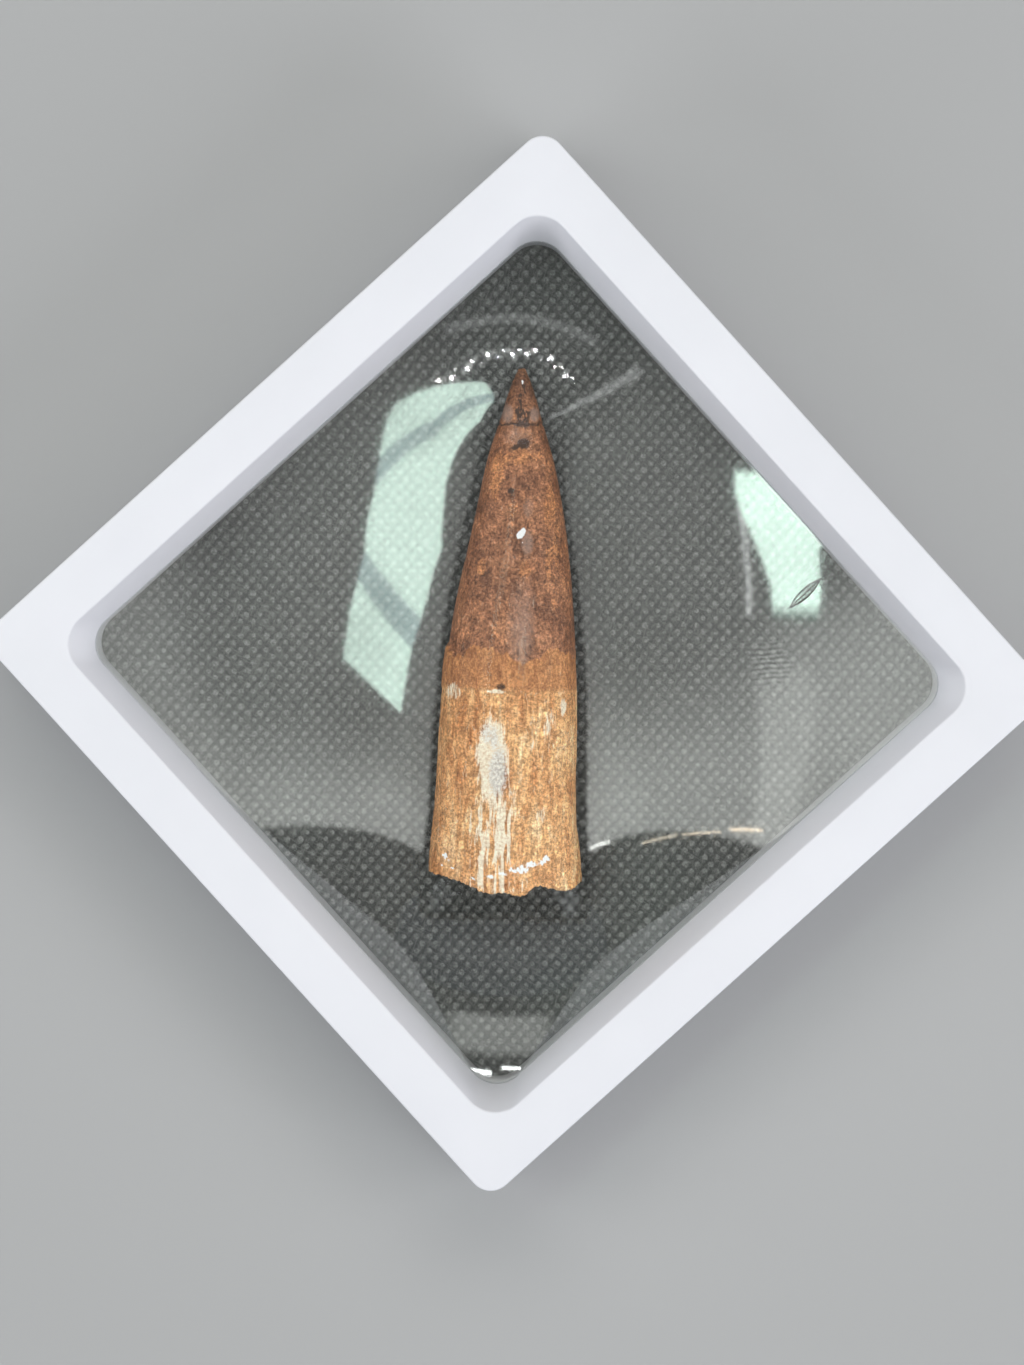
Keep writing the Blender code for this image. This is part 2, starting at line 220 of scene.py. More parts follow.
# Painted patches on the front face: strength, distance from the tip, distance across, half length,
# half width, and how much of the patch is broken up into streaks, from 0 to 1.
PATCHES = {
    "cream": (
        (1.00, 0.0568, -0.0022, 0.0058, 0.0024, 0.0),
        (1.15, 0.0690, -0.0012, 0.0090, 0.0040, 0.92),
        (0.55, 0.0530, 0.0054, 0.0052, 0.0030, 1.0),
        (1.00, 0.0651, 0.0052, 0.0014, 0.0008, 0.5),
        (0.80, 0.0475, -0.0080, 0.0014, 0.0013, 0.6),
        (1.00, 0.0473, -0.0021, 0.0003, 0.0015, 0.0),
        (0.70, 0.0492, 0.0080, 0.0014, 0.0005, 0.0),
        (0.45, 0.0753, 0.0000, 0.0012, 0.0080, 1.0),
    ),
    "grey": (
        (1.00, 0.0590, -0.0013, 0.0045, 0.0017, 0.0),
        (0.80, 0.0535, -0.0028, 0.0020, 0.0016, 0.0),
    ),
    "dark": (
        (1.00, 0.0111, 0.0004, 0.0009, 0.0012, 0.0),
        (0.80, 0.0118, -0.0010, 0.0005, 0.0006, 0.0),
        (1.00, 0.0181, -0.0013, 0.0005, 0.0006, 0.0),
        (0.80, 0.0466, -0.0014, 0.0006, 0.0009, 0.0),
        (0.50, 0.0450, -0.0030, 0.0005, 0.0005, 0.0),
        (0.50, 0.0700, 0.0040, 0.0014, 0.0005, 0.0),
        (0.40, 0.0625, -0.0048, 0.0030, 0.0006, 1.0),
    ),
    "pale": (
        (1.00, 0.0068, -0.0021, 0.0016, 0.0010, 0.0),
        (1.00, 0.0068, 0.0019, 0.0012, 0.0008, 0.0),
        (0.50, 0.0100, -0.0012, 0.0016, 0.0026, 0.0),
        (0.75, 0.0255, 0.0014, 0.0022, 0.0010, 0.0),
        (0.60, 0.0205, 0.0013, 0.0018, 0.0010, 0.0),
    ),
    "orange": (
        (1.00, 0.0140, -0.0030, 0.0014, 0.0012, 0.0),
        (1.00, 0.0165, -0.0034, 0.0030, 0.0010, 0.0),
        (0.80, 0.0130, 0.0000, 0.0012, 0.0032, 0.0),
        (1.00, 0.0200, 0.0043, 0.0034, 0.0009, 0.0),
        (0.70, 0.0210, -0.0012, 0.0014, 0.0009, 0.0),
        (1.00, 0.0290, -0.0050, 0.0014, 0.0007, 0.0),
        (1.00, 0.0292, 0.0012, 0.0016, 0.0009, 0.0),
        (0.50, 0.0300, 0.0055, 0.0080, 0.0018, 0.0),
        (0.25, 0.0390, -0.0040, 0.0050, 0.0022, 0.0),
    ),
    # The white patches are painted highlights: glints of the film where it lies on the crown, one near the
    # tip and two side by side lower down.
    "white": (
        (1.00, 0.0245, 0.0002, 0.0006, 0.0005, 0.0),
        (1.00, 0.0239, 0.0007, 0.0006, 0.0004, 0.0),
        (0.80, 0.0021, 0.0001, 0.0004, 0.00018, 0.0),
    ),
}

# The mottled dark patch at the tip, the soft haze low on the crown, and the darker spot of the painted shade
# where the root starts on the left, as above without strength.
TIP_MOTTLE = (0.0054, 0.0002, 0.0036, 0.0012)
CROWN_HAZE = (0.0380, 0.0012, 0.0080, 0.0026)
LOW_SHADE = (0.0450, -0.0040, 0.0030, 0.0040)

# Backing sheet
DOT_STEP = (0.000956, 0.001049)
DOT_LATTICE_TURN = math.radians(-41.6)
DOT_RADIUS = 0.00056
DOT_RISE = 0.00010
DOT_TOP = 0.42
DOT_CROWN = 0.3
DOT_SUNK = 0.08
DOT_STRAY = 0.00004
DOT_SIDES = 8
DOT_COUNT = 76
DOT_MARGIN = 0.0012

# Directions as the photograph sees them
UP = Vector((1, 1, 0)).normalized()
RIGHT = Vector((1, -1, 0)).normalized()
HIGH = Vector((0, 0, 1))
PHOTO_TURN = math.radians(-45)

# Camera, fitted to the frame's edges in a photograph 1365 pixels high
PHOTO_HEIGHT = 1365
FOCAL_PIXELS = 4454.4
SENSOR = 36.0
CAMERA_PLACE = Vector((0.0152, 0.0133, 0.6634))
CAMERA_AHEAD = Vector((-0.0269, -0.0228, -0.9994))
CAMERA_RIGHT = Vector((0.7425, -0.6699, -0.0047))

# What hangs overhead, as the film mirrors it: distances to the right and up of the middle.
LAMP_LEVEL = 1.2
WORLD_GLOW = 0.20
WINDOW_TINT = (0.80, 1.0, 0.89)
BAR_TINT = (0.76, 0.97, 0.95)
LEFT_WINDOW = (
    ("top pane", 4.2, WINDOW_TINT, (
        (-0.26, 0.28), (-0.14, 0.39), (-0.14, 0.44), (-0.28, 0.34), (-0.32, 0.26))),
    ("upper bar", 2.4, BAR_TINT, (
        (-0.32, 0.26), (-0.28, 0.34), (-0.14, 0.44), (-0.16, 0.47), (-0.31, 0.35), (-0.35, 0.24))),
    ("middle pane", 4.2, WINDOW_TINT, (
        (-0.35, 0.24), (-0.31, 0.35), (-0.16, 0.47), (-0.26, 0.47), (-0.53, 0.28), (-0.58, 0.18),
        (-0.59, 0.14), (-0.41, 0.17))),
    ("lower bar", 2.4, BAR_TINT, ((-0.41, 0.17), (-0.59, 0.14), (-0.60, 0.08), (-0.43, 0.13))),
    ("low pane", 4.4, WINDOW_TINT, (
        (-0.43, 0.13), (-0.60, 0.08), (-0.63, -0.04), (-0.47, 0.01), (-0.45, 0.07))),
)
RIGHT_PANE = ("right pane", 6.8, WINDOW_TINT, (
    (0.262, 0.178), (0.246, 0.193), (0.195, 0.155), (0.14, 0.125), (0.105, 0.062), (0.15, 0.070),
    (0.185, 0.095), (0.201, 0.086), (0.221, 0.046), (0.235, 0.024), (0.288, 0.044), (0.275, 0.079),
    (0.268, 0.155)))
RIGHT_PANE_FADE = (-0.062, -0.040)
PANE_FADE_SLANT = -0.37
PANE_FADE_TO = 0.12

# Thin bright lines overhead: right, up, length, width, turn in degrees, brightness and colour.
THIN_LINES = (
    ("faint line above the tip", -0.02, 0.252, 0.27, 0.018, 4.0, 0.5, (1, 1, 1)),
    ("faint line right of the tip", 0.181, 0.395, 0.014, 0.28, 1.0, 1.0, (1, 1, 1)),
    ("thin line at the right", 0.292, 0.112, 0.008, 0.12, 26.0, 2.2, (1, 1, 1)),
    ("warm line at the right", 0.600, -0.296, 0.130, 0.007, -8.0, 4.5, (1.0, 0.84, 0.66)),
    ("warm line further right", 0.468, -0.280, 0.110, 0.005, -7.0, 5.5, (1.0, 0.80, 0.60)),
    ("warm line at its end", 0.350, -0.258, 0.080, 0.008, -9.0, 5.0, (1.0, 0.78, 0.56)),
    ("white line beside the base", 0.870, -0.247, 0.150, 0.020, 12.0, 4.5, (1.0, 0.98, 0.94)),
    ("left glint at the bottom", -0.061, -0.320, 0.085, 0.018, -8.0, 11.0, (1, 1, 1)),
    ("right glint at the bottom", 0.063, -0.342, 0.085, 0.016, 8.0, 11.0, (1, 1, 1)),
    ("small glint at the bottom", -0.125, -0.295, 0.022, 0.014, 0.0, 12.0, (1, 1, 1)),
)

# A row of small bright bulbs, in zigzag, that shows as glints round the tooth's tip.
BULB_COUNT = 19
BULB_START = -0.210
BULB_STEP = 0.0182
BULB_UP = 0.321
BULB_ZIGZAG = 0.012
BULB_RISE = 0.28
BULB_BEND = 1.2
BULB_BEND_START = -0.13
BULB_SIZE = 0.0020
BULB_BRIGHTNESS = 110.0

# The ceiling above the lamps, its even glow, and what its brighter parts are measured in.
CEILING_WIDTH = 2.6
CEILING_HEIGHT = 1.5
CEILING_DOWN = 0.05
CEILING_GAP = 0.01
CEILING_GLOW = 0.14
OVAL_MIDDLE = (0.04, -0.02)
OVAL_HALF = (0.33, 0.16)
BORDER_SLANT = -0.05
LEFT_BEND = (-0.32, -0.18, 0.13, 0.0)
LOW_BORDER = ("slanted up", -0.315, -0.295)
RIGHT_BORDER = ("right", 0.350, 0.325)

# Brighter parts of the ceiling: brightness, then soft edges, each with what it is measured in, where
# it lets nothing through and where it lets everything through.
CEILING_PARTS = {
    "band along the bottom": (0.95, ("bent up", 0.08, -0.17), LOW_BORDER),
    "oval in the middle": (0.75, ("from oval", 1.0, 0.3), LOW_BORDER),
    "right side": (0.30, ("right", -0.02, 0.12), RIGHT_BORDER, ("up", 0.06, 0.0), LOW_BORDER),
    "right column": (0.38, ("right", 0.245, 0.265), RIGHT_BORDER, ("up", 0.0, -0.03), LOW_BORDER),
    "both sides": (0.32, ("sideways", 0.12, 0.30), ("up", 0.50, 0.40), LOW_BORDER),
    "far sides": (0.32, ("sideways", 0.54, 0.70), ("up", 0.60, 0.40), ("up", -0.30, -0.20)),
    "far bottom": (0.90, ("sideways", 0.34, 0.20), ("up", -0.38, -0.45), ("up", -0.68, -0.62)),
}

# Floor under the object
FLOOR_SIZE = 6.0
FLOOR_DROP = 0.0002

# Soft lamps round the object: name, place, width, height, brightness and colour.
SIDE_LAMPS = (
    ("upper key", UP * 1.25 + HIGH * 1.45, 1.8, 0.8, 2.7, (1.0, 0.98, 0.95)),
    ("right lamp", RIGHT * 1.55 + UP * 0.20 + HIGH * 1.20, 0.8, 0.9, 2.6, (0.97, 0.97, 1.0)),
    ("left lamp", -RIGHT * 1.55 + UP * 0.20 + HIGH * 1.20, 0.8, 0.9, 2.6, (0.97, 0.97, 1.0)),
    ("low right lamp", RIGHT * 1.60 - UP * 0.95 + HIGH * 0.85, 1.2, 0.8, 6.0, (0.93, 0.95, 1.0)),
    ("low left lamp", -RIGHT * 1.60 - UP * 0.95 + HIGH * 0.85, 1.2, 0.8, 4.0, (0.93, 0.95, 1.0)),
)


def choose(piece):
    """Select this object alone and make it the active one."""
    bpy.ops.object.select_all(action="DESELECT")
    piece.select_set(True)
    bpy.context.view_layer.objects.active = piece


def read_points(piece):
    """The places of a mesh's vertices, one row each."""
    points = np.zeros(len(piece.data.vertices) * 3)
    piece.data.vertices.foreach_get("co", points)
    return points.reshape(-1, 3)


def write_points(piece, points):
    piece.data.vertices.foreach_set("co", points.ravel())


def paint(piece, name, values):
    """Store a value from 0 to 1 on every vertex, as an attribute that a material reads."""
    layer = piece.data.attributes.new(name, "FLOAT", "POINT")
    layer.data.foreach_set("value", values.astype(np.float32))


def select_parts(piece, kind, test):
    """Select in edit mode the vertices, edges or faces that pass a test, and leave edit mode on."""
    choose(piece)
    bpy.ops.object.mode_set(mode="EDIT")
    bpy.ops.mesh.select_mode(type=kind)
    bpy.ops.mesh.select_all(action="DESELECT")
    mesh = bmesh.from_edit_mesh(piece.data)
    parts = {"VERT": mesh.verts, "EDGE": mesh.edges, "FACE": mesh.faces}[kind]
    for part in parts:
        if test(part):
            part.select_set(True)
    mesh.select_flush_mode()
    bmesh.update_edit_mesh(piece.data)


def leave_edit_mode():
    bpy.ops.object.mode_set(mode="OBJECT")


def apply_modifier(piece, modifier):
    choose(piece)
    bpy.ops.object.modifier_apply(modifier=modifier.name)


def settle(piece):
    """Put the piece's place into its mesh, so that its object sits at the origin."""
    choose(piece)
    bpy.ops.object.transform_apply(location=True, rotation=True, scale=True)


def smooth_shading(piece, degrees):
    choose(piece)
    bpy.ops.object.shade_smooth_by_angle(angle=math.radians(degrees))


def is_upright(edge):
    """True for an edge that runs along Z."""
    start, end = edge.verts
    return (start.co.xy - end.co.xy).length < 1e-6


def rounded_block(name, half, bottom, top, corner):
    """A square block with rounded upright corners."""
    middle = Vector((0, 0, (bottom + top) / 2))
    size = Vector((2 * half, 2 * half, top - bottom))
    bpy.ops.mesh.primitive_cube_add(size=1, location=middle, scale=size)
    block = bpy.context.active_object
    block.name = name
    block.data.name = name
    settle(block)
    select_parts(block, "EDGE", is_upright)
    bpy.ops.mesh.bevel(offset=corner, segments=CORNER_SEGMENTS, affect="EDGES")
    leave_edit_mode()
    return block


def slice_level(block, height):
    """Cut a ring of edges round a block at a height."""
    select_parts(block, "FACE", lambda face: True)
    bpy.ops.mesh.bisect(plane_co=(0, 0, height), plane_no=(0, 0, 1))
    leave_edit_mode()


def widen_level(block, height, growth):
    """Move the ring of vertices at a height outwards, the same on every side."""
    reach = max(vertex.co.x for vertex in block.data.vertices if abs(vertex.co.z - height) < 1e-6)
    factor = (reach + growth) / reach
    select_parts(block, "VERT", lambda vertex: abs(vertex.co.z - height) < 1e-6)
    bpy.ops.transform.resize(value=(factor, factor, 1), center_override=(0, 0, height))
    leave_edit_mode()


def carve(piece, cutter):
    """Cut one block out of another."""
    modifier = piece.modifiers.new("Opening", "BOOLEAN")
    modifier.operation = "DIFFERENCE"
    modifier.solver = "EXACT"
    modifier.object = cutter
    apply_modifier(piece, modifier)
    bpy.data.objects.remove(cutter, do_unlink=True)


def round_edges(piece, width, segments):
    modifier = piece.modifiers.new("Rounded edges", "BEVEL")
    modifier.width = width
    modifier.segments = segments
    modifier.limit_method = "ANGLE"
    modifier.angle_limit = math.radians(35)
    modifier.use_clamp_overlap = True
    apply_modifier(piece, modifier)


def make_front_half():
    """The front of the frame: a flat rim and a slope that runs down to the film."""
    foot = MID + POCKET_DEPTH
    lip = foot + LIP_HEIGHT
    middle = lip + (FRAME_TOP - lip) / 2
    above = FRAME_TOP + 2 * CUTTER_REACH
    half = rounded_block("moulded_front_half", HALF_SIDE, MID + SEAM_GAP, FRAME_TOP, OUTER_CORNER)
    well = rounded_block("well", WINDOW_HALF, MID - CUTTER_REACH, above, OPENING_CORNER)
    for height in (lip, middle, FRAME_TOP):
        slice_level(well, height)
    widen_level(well, middle, SLOPE_RUN * SLOPE_BOW)
    widen_level(well, FRAME_TOP, SLOPE_RUN)
    widen_level(well, above, SLOPE_RUN + LIP_HEIGHT)
    carve(half, well)
    carve(half, rounded_block("pocket", FILM_HALF + SHEET_FIT, MID - CUTTER_REACH, foot, OUTER_CORNER))
    round_edges(half, RIM_ROUND, 4)
    smooth_shading(half, 35)
    return half


def make_back_half():
    """The back of the frame: a straight inner wall and a shallow seat for the dark sheet."""
    floor = MID - POCKET_DEPTH
    seat = SHEET_HIGH.z + SHEET_FIT
    above = MID + CUTTER_REACH
    half = rounded_block("moulded_back_half", HALF_SIDE, BACK_LOW.z, MID - SEAM_GAP, OUTER_CORNER)
    carve(half, rounded_block("well", WINDOW_HALF, -CUTTER_REACH, above, OPENING_CORNER))
    carve(half, rounded_block("pocket", FILM_HALF + SHEET_FIT, floor, above, OUTER_CORNER))
    carve(half, rounded_block("seat", SHEET_HIGH.x + SHEET_FIT, -CUTTER_REACH, seat, OUTER_CORNER))
    round_edges(half, BACK_ROUND, 3)
    smooth_shading(half, 35)
    return half


def smooth_between(stations, column, where):
    """A smooth curve through one column of a list of stations."""
    known = np.array([station[0] for station in stations])
    values = np.array([station[column] for station in stations])
    slopes = np.gradient(values, known)
    where = np.clip(where, known[0], known[-1])
    index = np.clip(np.searchsorted(known, where) - 1, 0, len(known) - 2)
    span = known[index + 1] - known[index]
    t = (where - known[index]) / span
    start = (1 + 2 * t) * (1 - t) ** 2 * values[index] + t * (1 - t) ** 2 * span * slopes[index]
    end = t ** 2 * (3 - 2 * t) * values[index + 1] - t ** 2 * (1 - t) * span * slopes[index + 1]
    return start + end


def depth_offset(from_tip):
    return -TOOTH_TIP_DROP * (1 - from_tip / TOOTH_LENGTH) ** 2


def side_offset(from_tip):
    return TOOTH_SIDE_BOW * np.sin(2 * math.pi * from_tip / TOOTH_LENGTH)


def to_tooth(x, y):
    """Distance across and distance from the tip, of points in the frame."""
    from_base_x = x + TOOTH_BASE_DROP / math.sqrt(2)
    from_base_y = y + TOOTH_BASE_DROP / math.sqrt(2)
    across = from_base_x * math.cos(TOOTH_TURN) + from_base_y * math.sin(TOOTH_TURN)
    along = from_base_y * math.cos(TOOTH_TURN) - from_base_x * math.sin(TOOTH_TURN)
    return across, TOOTH_LENGTH - along


def film_obstacle(x, y, front):
    """Height of the tooth above the films' plane, with a little clearance."""
    across, from_tip = to_tooth(x, y)
    across = across - side_offset(np.clip(from_tip, 0, TOOTH_LENGTH))
    wide = smooth_between(TOOTH_STATIONS, 1, from_tip) + FILM_CLEARANCE
    deep = smooth_between(TOOTH_STATIONS, 2, from_tip) + FILM_CLEARANCE
    share = np.clip(np.abs(across) / wide, 0, 1)
    height = deep * (1 - share ** TOOTH_SQUARENESS) ** (1 / TOOTH_SQUARENESS)
    offset = depth_offset(np.clip(from_tip, 0, TOOTH_LENGTH))
    height = height + (offset if front else -offset)
    beside = (from_tip > -FILM_CLEARANCE) & (from_tip < TOOTH_LENGTH + FILM_CLEARANCE)
    return np.where(beside & (share < 1), height, 0.0)


def close_to_tooth(x, y):
    """True where the film lies on the tooth or falls steeply beside it."""
    across, from_tip = to_tooth(x, y)
    wide = smooth_between(TOOTH_STATIONS, 1, from_tip) + COVER_MARGIN
    below = from_tip < TOOTH_LENGTH + COVER_BELOW
    return (np.abs(across) < wide) & (from_tip > 0) & below


def inside_window(x, y):
    """True inside the window with its rounded corners."""
    core = WINDOW_HALF - OPENING_CORNER
    over_x = np.maximum(np.abs(x) - core, 0)
    over_y = np.maximum(np.abs(y) - core, 0)
    return np.hypot(over_x, over_y) < OPENING_CORNER


def stretch_film(x, y, front):
    """Relax a stretched skin over the tooth, held flat round the window and drawn a little inwards."""
    cell = x[1, 0] - x[0, 0]
    push = FILM_PULL * cell ** 2 / 4
    free = inside_window(x, y)
    floor = np.where(free, film_obstacle(x, y, front), 0.0)
    height = floor.copy()
    rows, columns = np.indices(height.shape)
    chequer = [free & ((rows + columns) % 2 == parity) for parity in (0, 1)]
    for sweep in range(MEMBRANE_SWEEPS):
        for squares in chequer:
            mean = np.zeros_like(height)
            mean[1:-1, :] = height[2:, :] + height[:-2, :]
            mean[:, 1:-1] += height[:, 2:] + height[:, :-2]
            moved = np.maximum(height + MEMBRANE_RELAX * (mean / 4 + push - height), floor)
            height = np.where(squares, moved, height)
    return height


def make_film(name, front):
    """A clear film, clamped flat at its border and stretched over the tooth."""
    bpy.ops.mesh.primitive_grid_add(
        x_subdivisions=FILM_CELLS, y_subdivisions=FILM_CELLS, size=2 * FILM_HALF, location=(0, 0, 0)
    )
    film = bpy.context.active_object
    film.name = name
    film.data.name = name
    points = read_points(film)
    places = np.linspace(-FILM_HALF, FILM_HALF, FILM_CELLS + 1)
    x, y = np.meshgrid(places, places, indexing="ij")
    height = stretch_film(x, y, front)
    side = 1 if front else -1
    points[:, 2] = MID + side * (FILM_LIFT + height[grid_index(points)])
    write_points(film, points)
    if not front:
        film.data.flip_normals()
    wall = film.modifiers.new("Film thickness", "SOLIDIFY")
    wall.thickness = FILM_THICKNESS
    wall.offset = 1.0
    apply_modifier(film, wall)
    on_grid = grid_index(read_points(film))
    cover = blur(np.where(close_to_tooth(x, y), 1.0, 0.0), COVER_SPREAD)
    paint(film, "cover", cover[on_grid])
    apart = np.hypot(x - RIPPLE_PLACE[0], y - RIPPLE_PLACE[1]) / RIPPLE_REACH
    ripple = np.exp(-apart ** 4) if front else 0 * apart
    paint(film, "ripple", ripple[on_grid])
    smooth_shading(film, 60)
    return film


def blur(values, passes):
    """Soften a grid of values by averaging neighbours."""
    for step in range(passes):
        mean = values.copy()
        mean[1:-1, 1:-1] += values[2:, 1:-1] + values[:-2, 1:-1] + values[1:-1, 2:] + values[1:-1, :-2]
        values = mean / 5
    return values


def grid_index(points):
    """Column and row of the film's grid that each point stands on."""
    cell = 2 * FILM_HALF / FILM_CELLS
    steps = np.clip(np.rint((points[:, :2] + FILM_HALF) / cell), 0, FILM_CELLS).astype(int)
    return steps[:, 0], steps[:, 1]


def enamel_edge(angle):
    """Distance from the tip to the crown's lower edge, which dips on both faces."""
    wave = ENAMEL_WAVE * np.sin(5 * angle + 0.7)
    return ENAMEL_END + ENAMEL_DIP * np.abs(np.sin(angle)) ** 6 + wave


def noise_at(points, scale, seed=0.0, octaves=1):
    """Smooth noise from about -1 to 1 at points that are stretched by scale."""
    values = np.zeros(len(points))
    stretched = points * np.array(scale) + seed
    for index, point in enumerate(stretched):
        values[index] = noise.fractal(point, 0.6, 2.0, octaves, noise_basis="PERLIN_ORIGINAL")
    return values


def blob(from_tip, across, place, size, power=2):
    """1 in the middle of an oval patch on the front face, falling to 0 past its edge."""
    apart = ((from_tip - place[0]) / size[0]) ** 2 + ((across - place[1]) / size[1]) ** 2
    return np.exp(-apart ** (power / 2))


def tooth_surface(share, angle):
    """Points and painted masks of the tooth; share runs from the tip to the middle of the break."""
    side_share = np.clip(share / SIDE_SHARE, 0, 1)
    inward = np.clip((share - SIDE_SHARE) / (1 - SIDE_SHARE), 0, 1)
    wide_end = smooth_between(TOOTH_STATIONS, 1, np.full_like(share, TOOTH_LENGTH))
    edge_back = smooth_between(BREAK_EDGE, 1, wide_end * np.cos(angle))
    end = TOOTH_LENGTH - edge_back
    from_tip = end * side_share ** RING_SPREAD
    wide = smooth_between(TOOTH_STATIONS, 1, from_tip)
    deep = smooth_between(TOOTH_STATIONS, 2, from_tip)
    radius = (
        np.abs(np.cos(angle) / wide) ** TOOTH_SQUARENESS
        + np.abs(np.sin(angle) / deep) ** TOOTH_SQUARENESS
    ) ** (-1 / TOOTH_SQUARENESS)
    front = np.sin(angle) > 0
    fade = np.clip(from_tip / SMOOTH_TIP, 0, 1)
    rough = np.stack([radius * np.cos(angle), from_tip, radius * np.sin(angle)], axis=1)
    edge = enamel_edge(angle) + ENAMEL_RAGGED * noise_at(rough, ENAMEL_EDGE_BUMPS, 3.1, 3)
    root = np.clip((from_tip - edge) / ENAMEL_STEP + 0.5, 0, 1)
    stained = np.clip((PLATE_END - from_tip) / STAIN_FADE + 0.5, 0, 1)
    root_share = np.clip((from_tip - edge) / (TOOTH_LENGTH - ENAMEL_END), 0, 1)
    lumps = np.sin(2 * angle + from_tip * 90) + np.sin(5 * angle - from_tip * 210)
    fibres = noise_at(rough, FIBRE_BUMPS, 7.7, 3)
    coarse = noise_at(rough, COARSE_BUMPS, 1.3, 3)
    grain = noise_at(rough, GRAIN_BUMPS, 5.5, 2)
    across = radius * np.cos(angle)

    relief = fade * TOOTH_LUMPS * 0.5 * lumps
    relief -= ROOT_GROOVE_DEPTH * root_share * (
        1 + np.sin(ROOT_GROOVES * angle + 0.6 * np.sin(from_tip * 130))
    )
    left = np.maximum(0, -np.cos(angle))
    face = np.maximum(0, np.sin(angle))
    relief += root * (1 - root_share) * ENAMEL_LEDGE * (left - 0.5 * face)
    relief += root * (ROOT_FIBRES * fibres + ROOT_COARSE * coarse)
    relief += (1 - root) * fade * (ENAMEL_FIBRES * fibres + ENAMEL_COARSE * coarse)
    relief += fade * GRAIN_HEIGHT * grain
    for place, side, size, depth in PITS:
        relief -= np.where(front, depth * blob(from_tip, across, (place, side), (size, size)), 0)
    relief -= CRACK_DEPTH * np.exp(-((from_tip - crack_line(across, coarse)) / CRACK_WIDTH) ** 2)
    plate = np.clip((PLATE_END + PLATE_WANDER * coarse - from_tip) / PLATE_STEP + 0.5, 0, 1)
    relief += root * plate * PLATE_RISE * np.clip(0.5 - across / PLATE_REACH, 0, 1) * (face > 0)
    chips = np.clip(noise_at(rough, CHIP_BUMPS, 9.2, 2) - 0.25, 0, 1)
    near_end = np.clip((from_tip - (end - CHIP_REACH)) / CHIP_REACH, 0, 1)
    relief -= near_end * CHIP_DEPTH * chips

    shrink = 1 - inward
    height = (radius + relief) * np.sin(angle) * shrink
    sideways = (radius + relief) * np.cos(angle) * shrink
    dome = BREAK_HOLLOW * (1 - (1 - inward) ** 1.6)
    broken = np.clip(inward * 6, 0, 1)
    break_points = np.stack([sideways, 0 * sideways, height], axis=1)
    crumble = noise_at(break_points, BREAK_BUMPS, 2.2, 4)
    along = TOOTH_LENGTH - from_tip + edge_back * inward + dome + BREAK_CRUMBLE * crumble * broken
    along += EDGE_CRUMBLE * near_end * (1 - broken) * grain
    points = np.stack(
        [sideways + side_offset(from_tip), along, height + depth_offset(from_tip)], axis=1
    )
    masks = paint_tooth(from_tip, across, angle, root, fibres, coarse, grain, broken)
    masks["stain"] = stained
    masks["tip"] = np.clip(1 - from_tip / TIP_SHADE, 0, 1)
    return points, masks


def crack_line(across, coarse):
    """Distance from the tip to the ring crack near it."""
    return CRACK_PLACE - CRACK_SLANT * across + CRACK_WANDER * coarse


def paint_tooth(from_tip, across, angle, root, fibres, coarse, grain, broken):
    """Where the tooth is root, where each of its patches and painted highlights shows, and how much painted
    shade its root takes, from 0 to 1.
    """
    front = np.clip(np.sin(angle) * 4, 0, 1)
    streaks = 0.5 + 0.5 * np.clip(fibres * 1.8, -1, 1)

    def spot(place, side, length, width, power=4):
        return blob(from_tip, across, (place, side), (length, width), power)

    masks = {}
    for name, patches in PATCHES.items():
        masks[name] = np.zeros_like(from_tip)
        for strength, place, side, length, width, streaky in patches:
            masks[name] += strength * spot(place, side, length, width) * (1 - streaky + streaky * streaks)
    masks["dark"] += spot(*TIP_MOTTLE) * (0.75 + 0.75 * np.clip(4 * coarse + 3 * grain, -1, 1))
    masks["pale"] += 0.8 * spot(*CROWN_HAZE, 2)
    masks["orange"] += 0.4 * np.clip(3 * coarse, 0, 1)
    # Painted highlights: the film's white glints along the broken end, broken up by the grain.
    for place, side, length, width in PAINTED_BASE_GLINTS:
        masks["white"] += spot(place, side, length, width) * (0.45 + 0.55 * np.clip(3 * grain + 0.5, 0, 1))
    masks = {name: np.clip(front * values, 0, 1) for name, values in masks.items()}
    crack = np.exp(-((from_tip - crack_line(across, coarse)) / CRACK_WIDTH) ** 2)
    masks["dark"] = np.clip(masks["dark"] + 0.9 * crack, 0, 1)
    masks["cream"] = np.clip(masks["cream"] + 0.35 * broken, 0, 1)
    masks["root"] = np.clip(root + broken, 0, 1)
    # Painted shade: the root darker on its left side and lighter on its right, as the light falls; a spot
    # where the root starts on the left is darker as well.
    shade = 0.35 * np.clip(-across / 0.008, -1, 1) * root + 0.25 * spot(*LOW_SHADE)
    masks["tone"] = np.clip(0.5 - shade, 0, 1)
    return masks


def make_tooth():
    """The fossil tooth: a sphere's rings drawn out into crown, root and broken end."""
    bpy.ops.mesh.primitive_uv_sphere_add(
        segments=TOOTH_SIDES, ring_count=TOOTH_RINGS, radius=1, location=(0, 0, 0)
    )
    tooth = bpy.context.active_object
    tooth.name = "fossil_tooth"
    tooth.data.name = "fossil_tooth"
    points = read_points(tooth)
    share = np.arccos(np.clip(points[:, 2], -1, 1)) / math.pi
    angle = np.arctan2(points[:, 1], points[:, 0])
    places, masks = tooth_surface(share, -angle)
    turn = np.array(Matrix.Rotation(TOOTH_TURN, 3, "Z"))
    places = places @ turn.T
    drop = TOOTH_BASE_DROP / math.sqrt(2)
    places += np.array((-drop, -drop, MID))
    write_points(tooth, places)
    for name, values in masks.items():
        paint(tooth, name, values)
    select_parts(tooth, "FACE", lambda face: True)
    bpy.ops.mesh.normals_make_consistent(inside=False)
    leave_edit_mode()
    smooth_shading(tooth, 80)
    return tooth


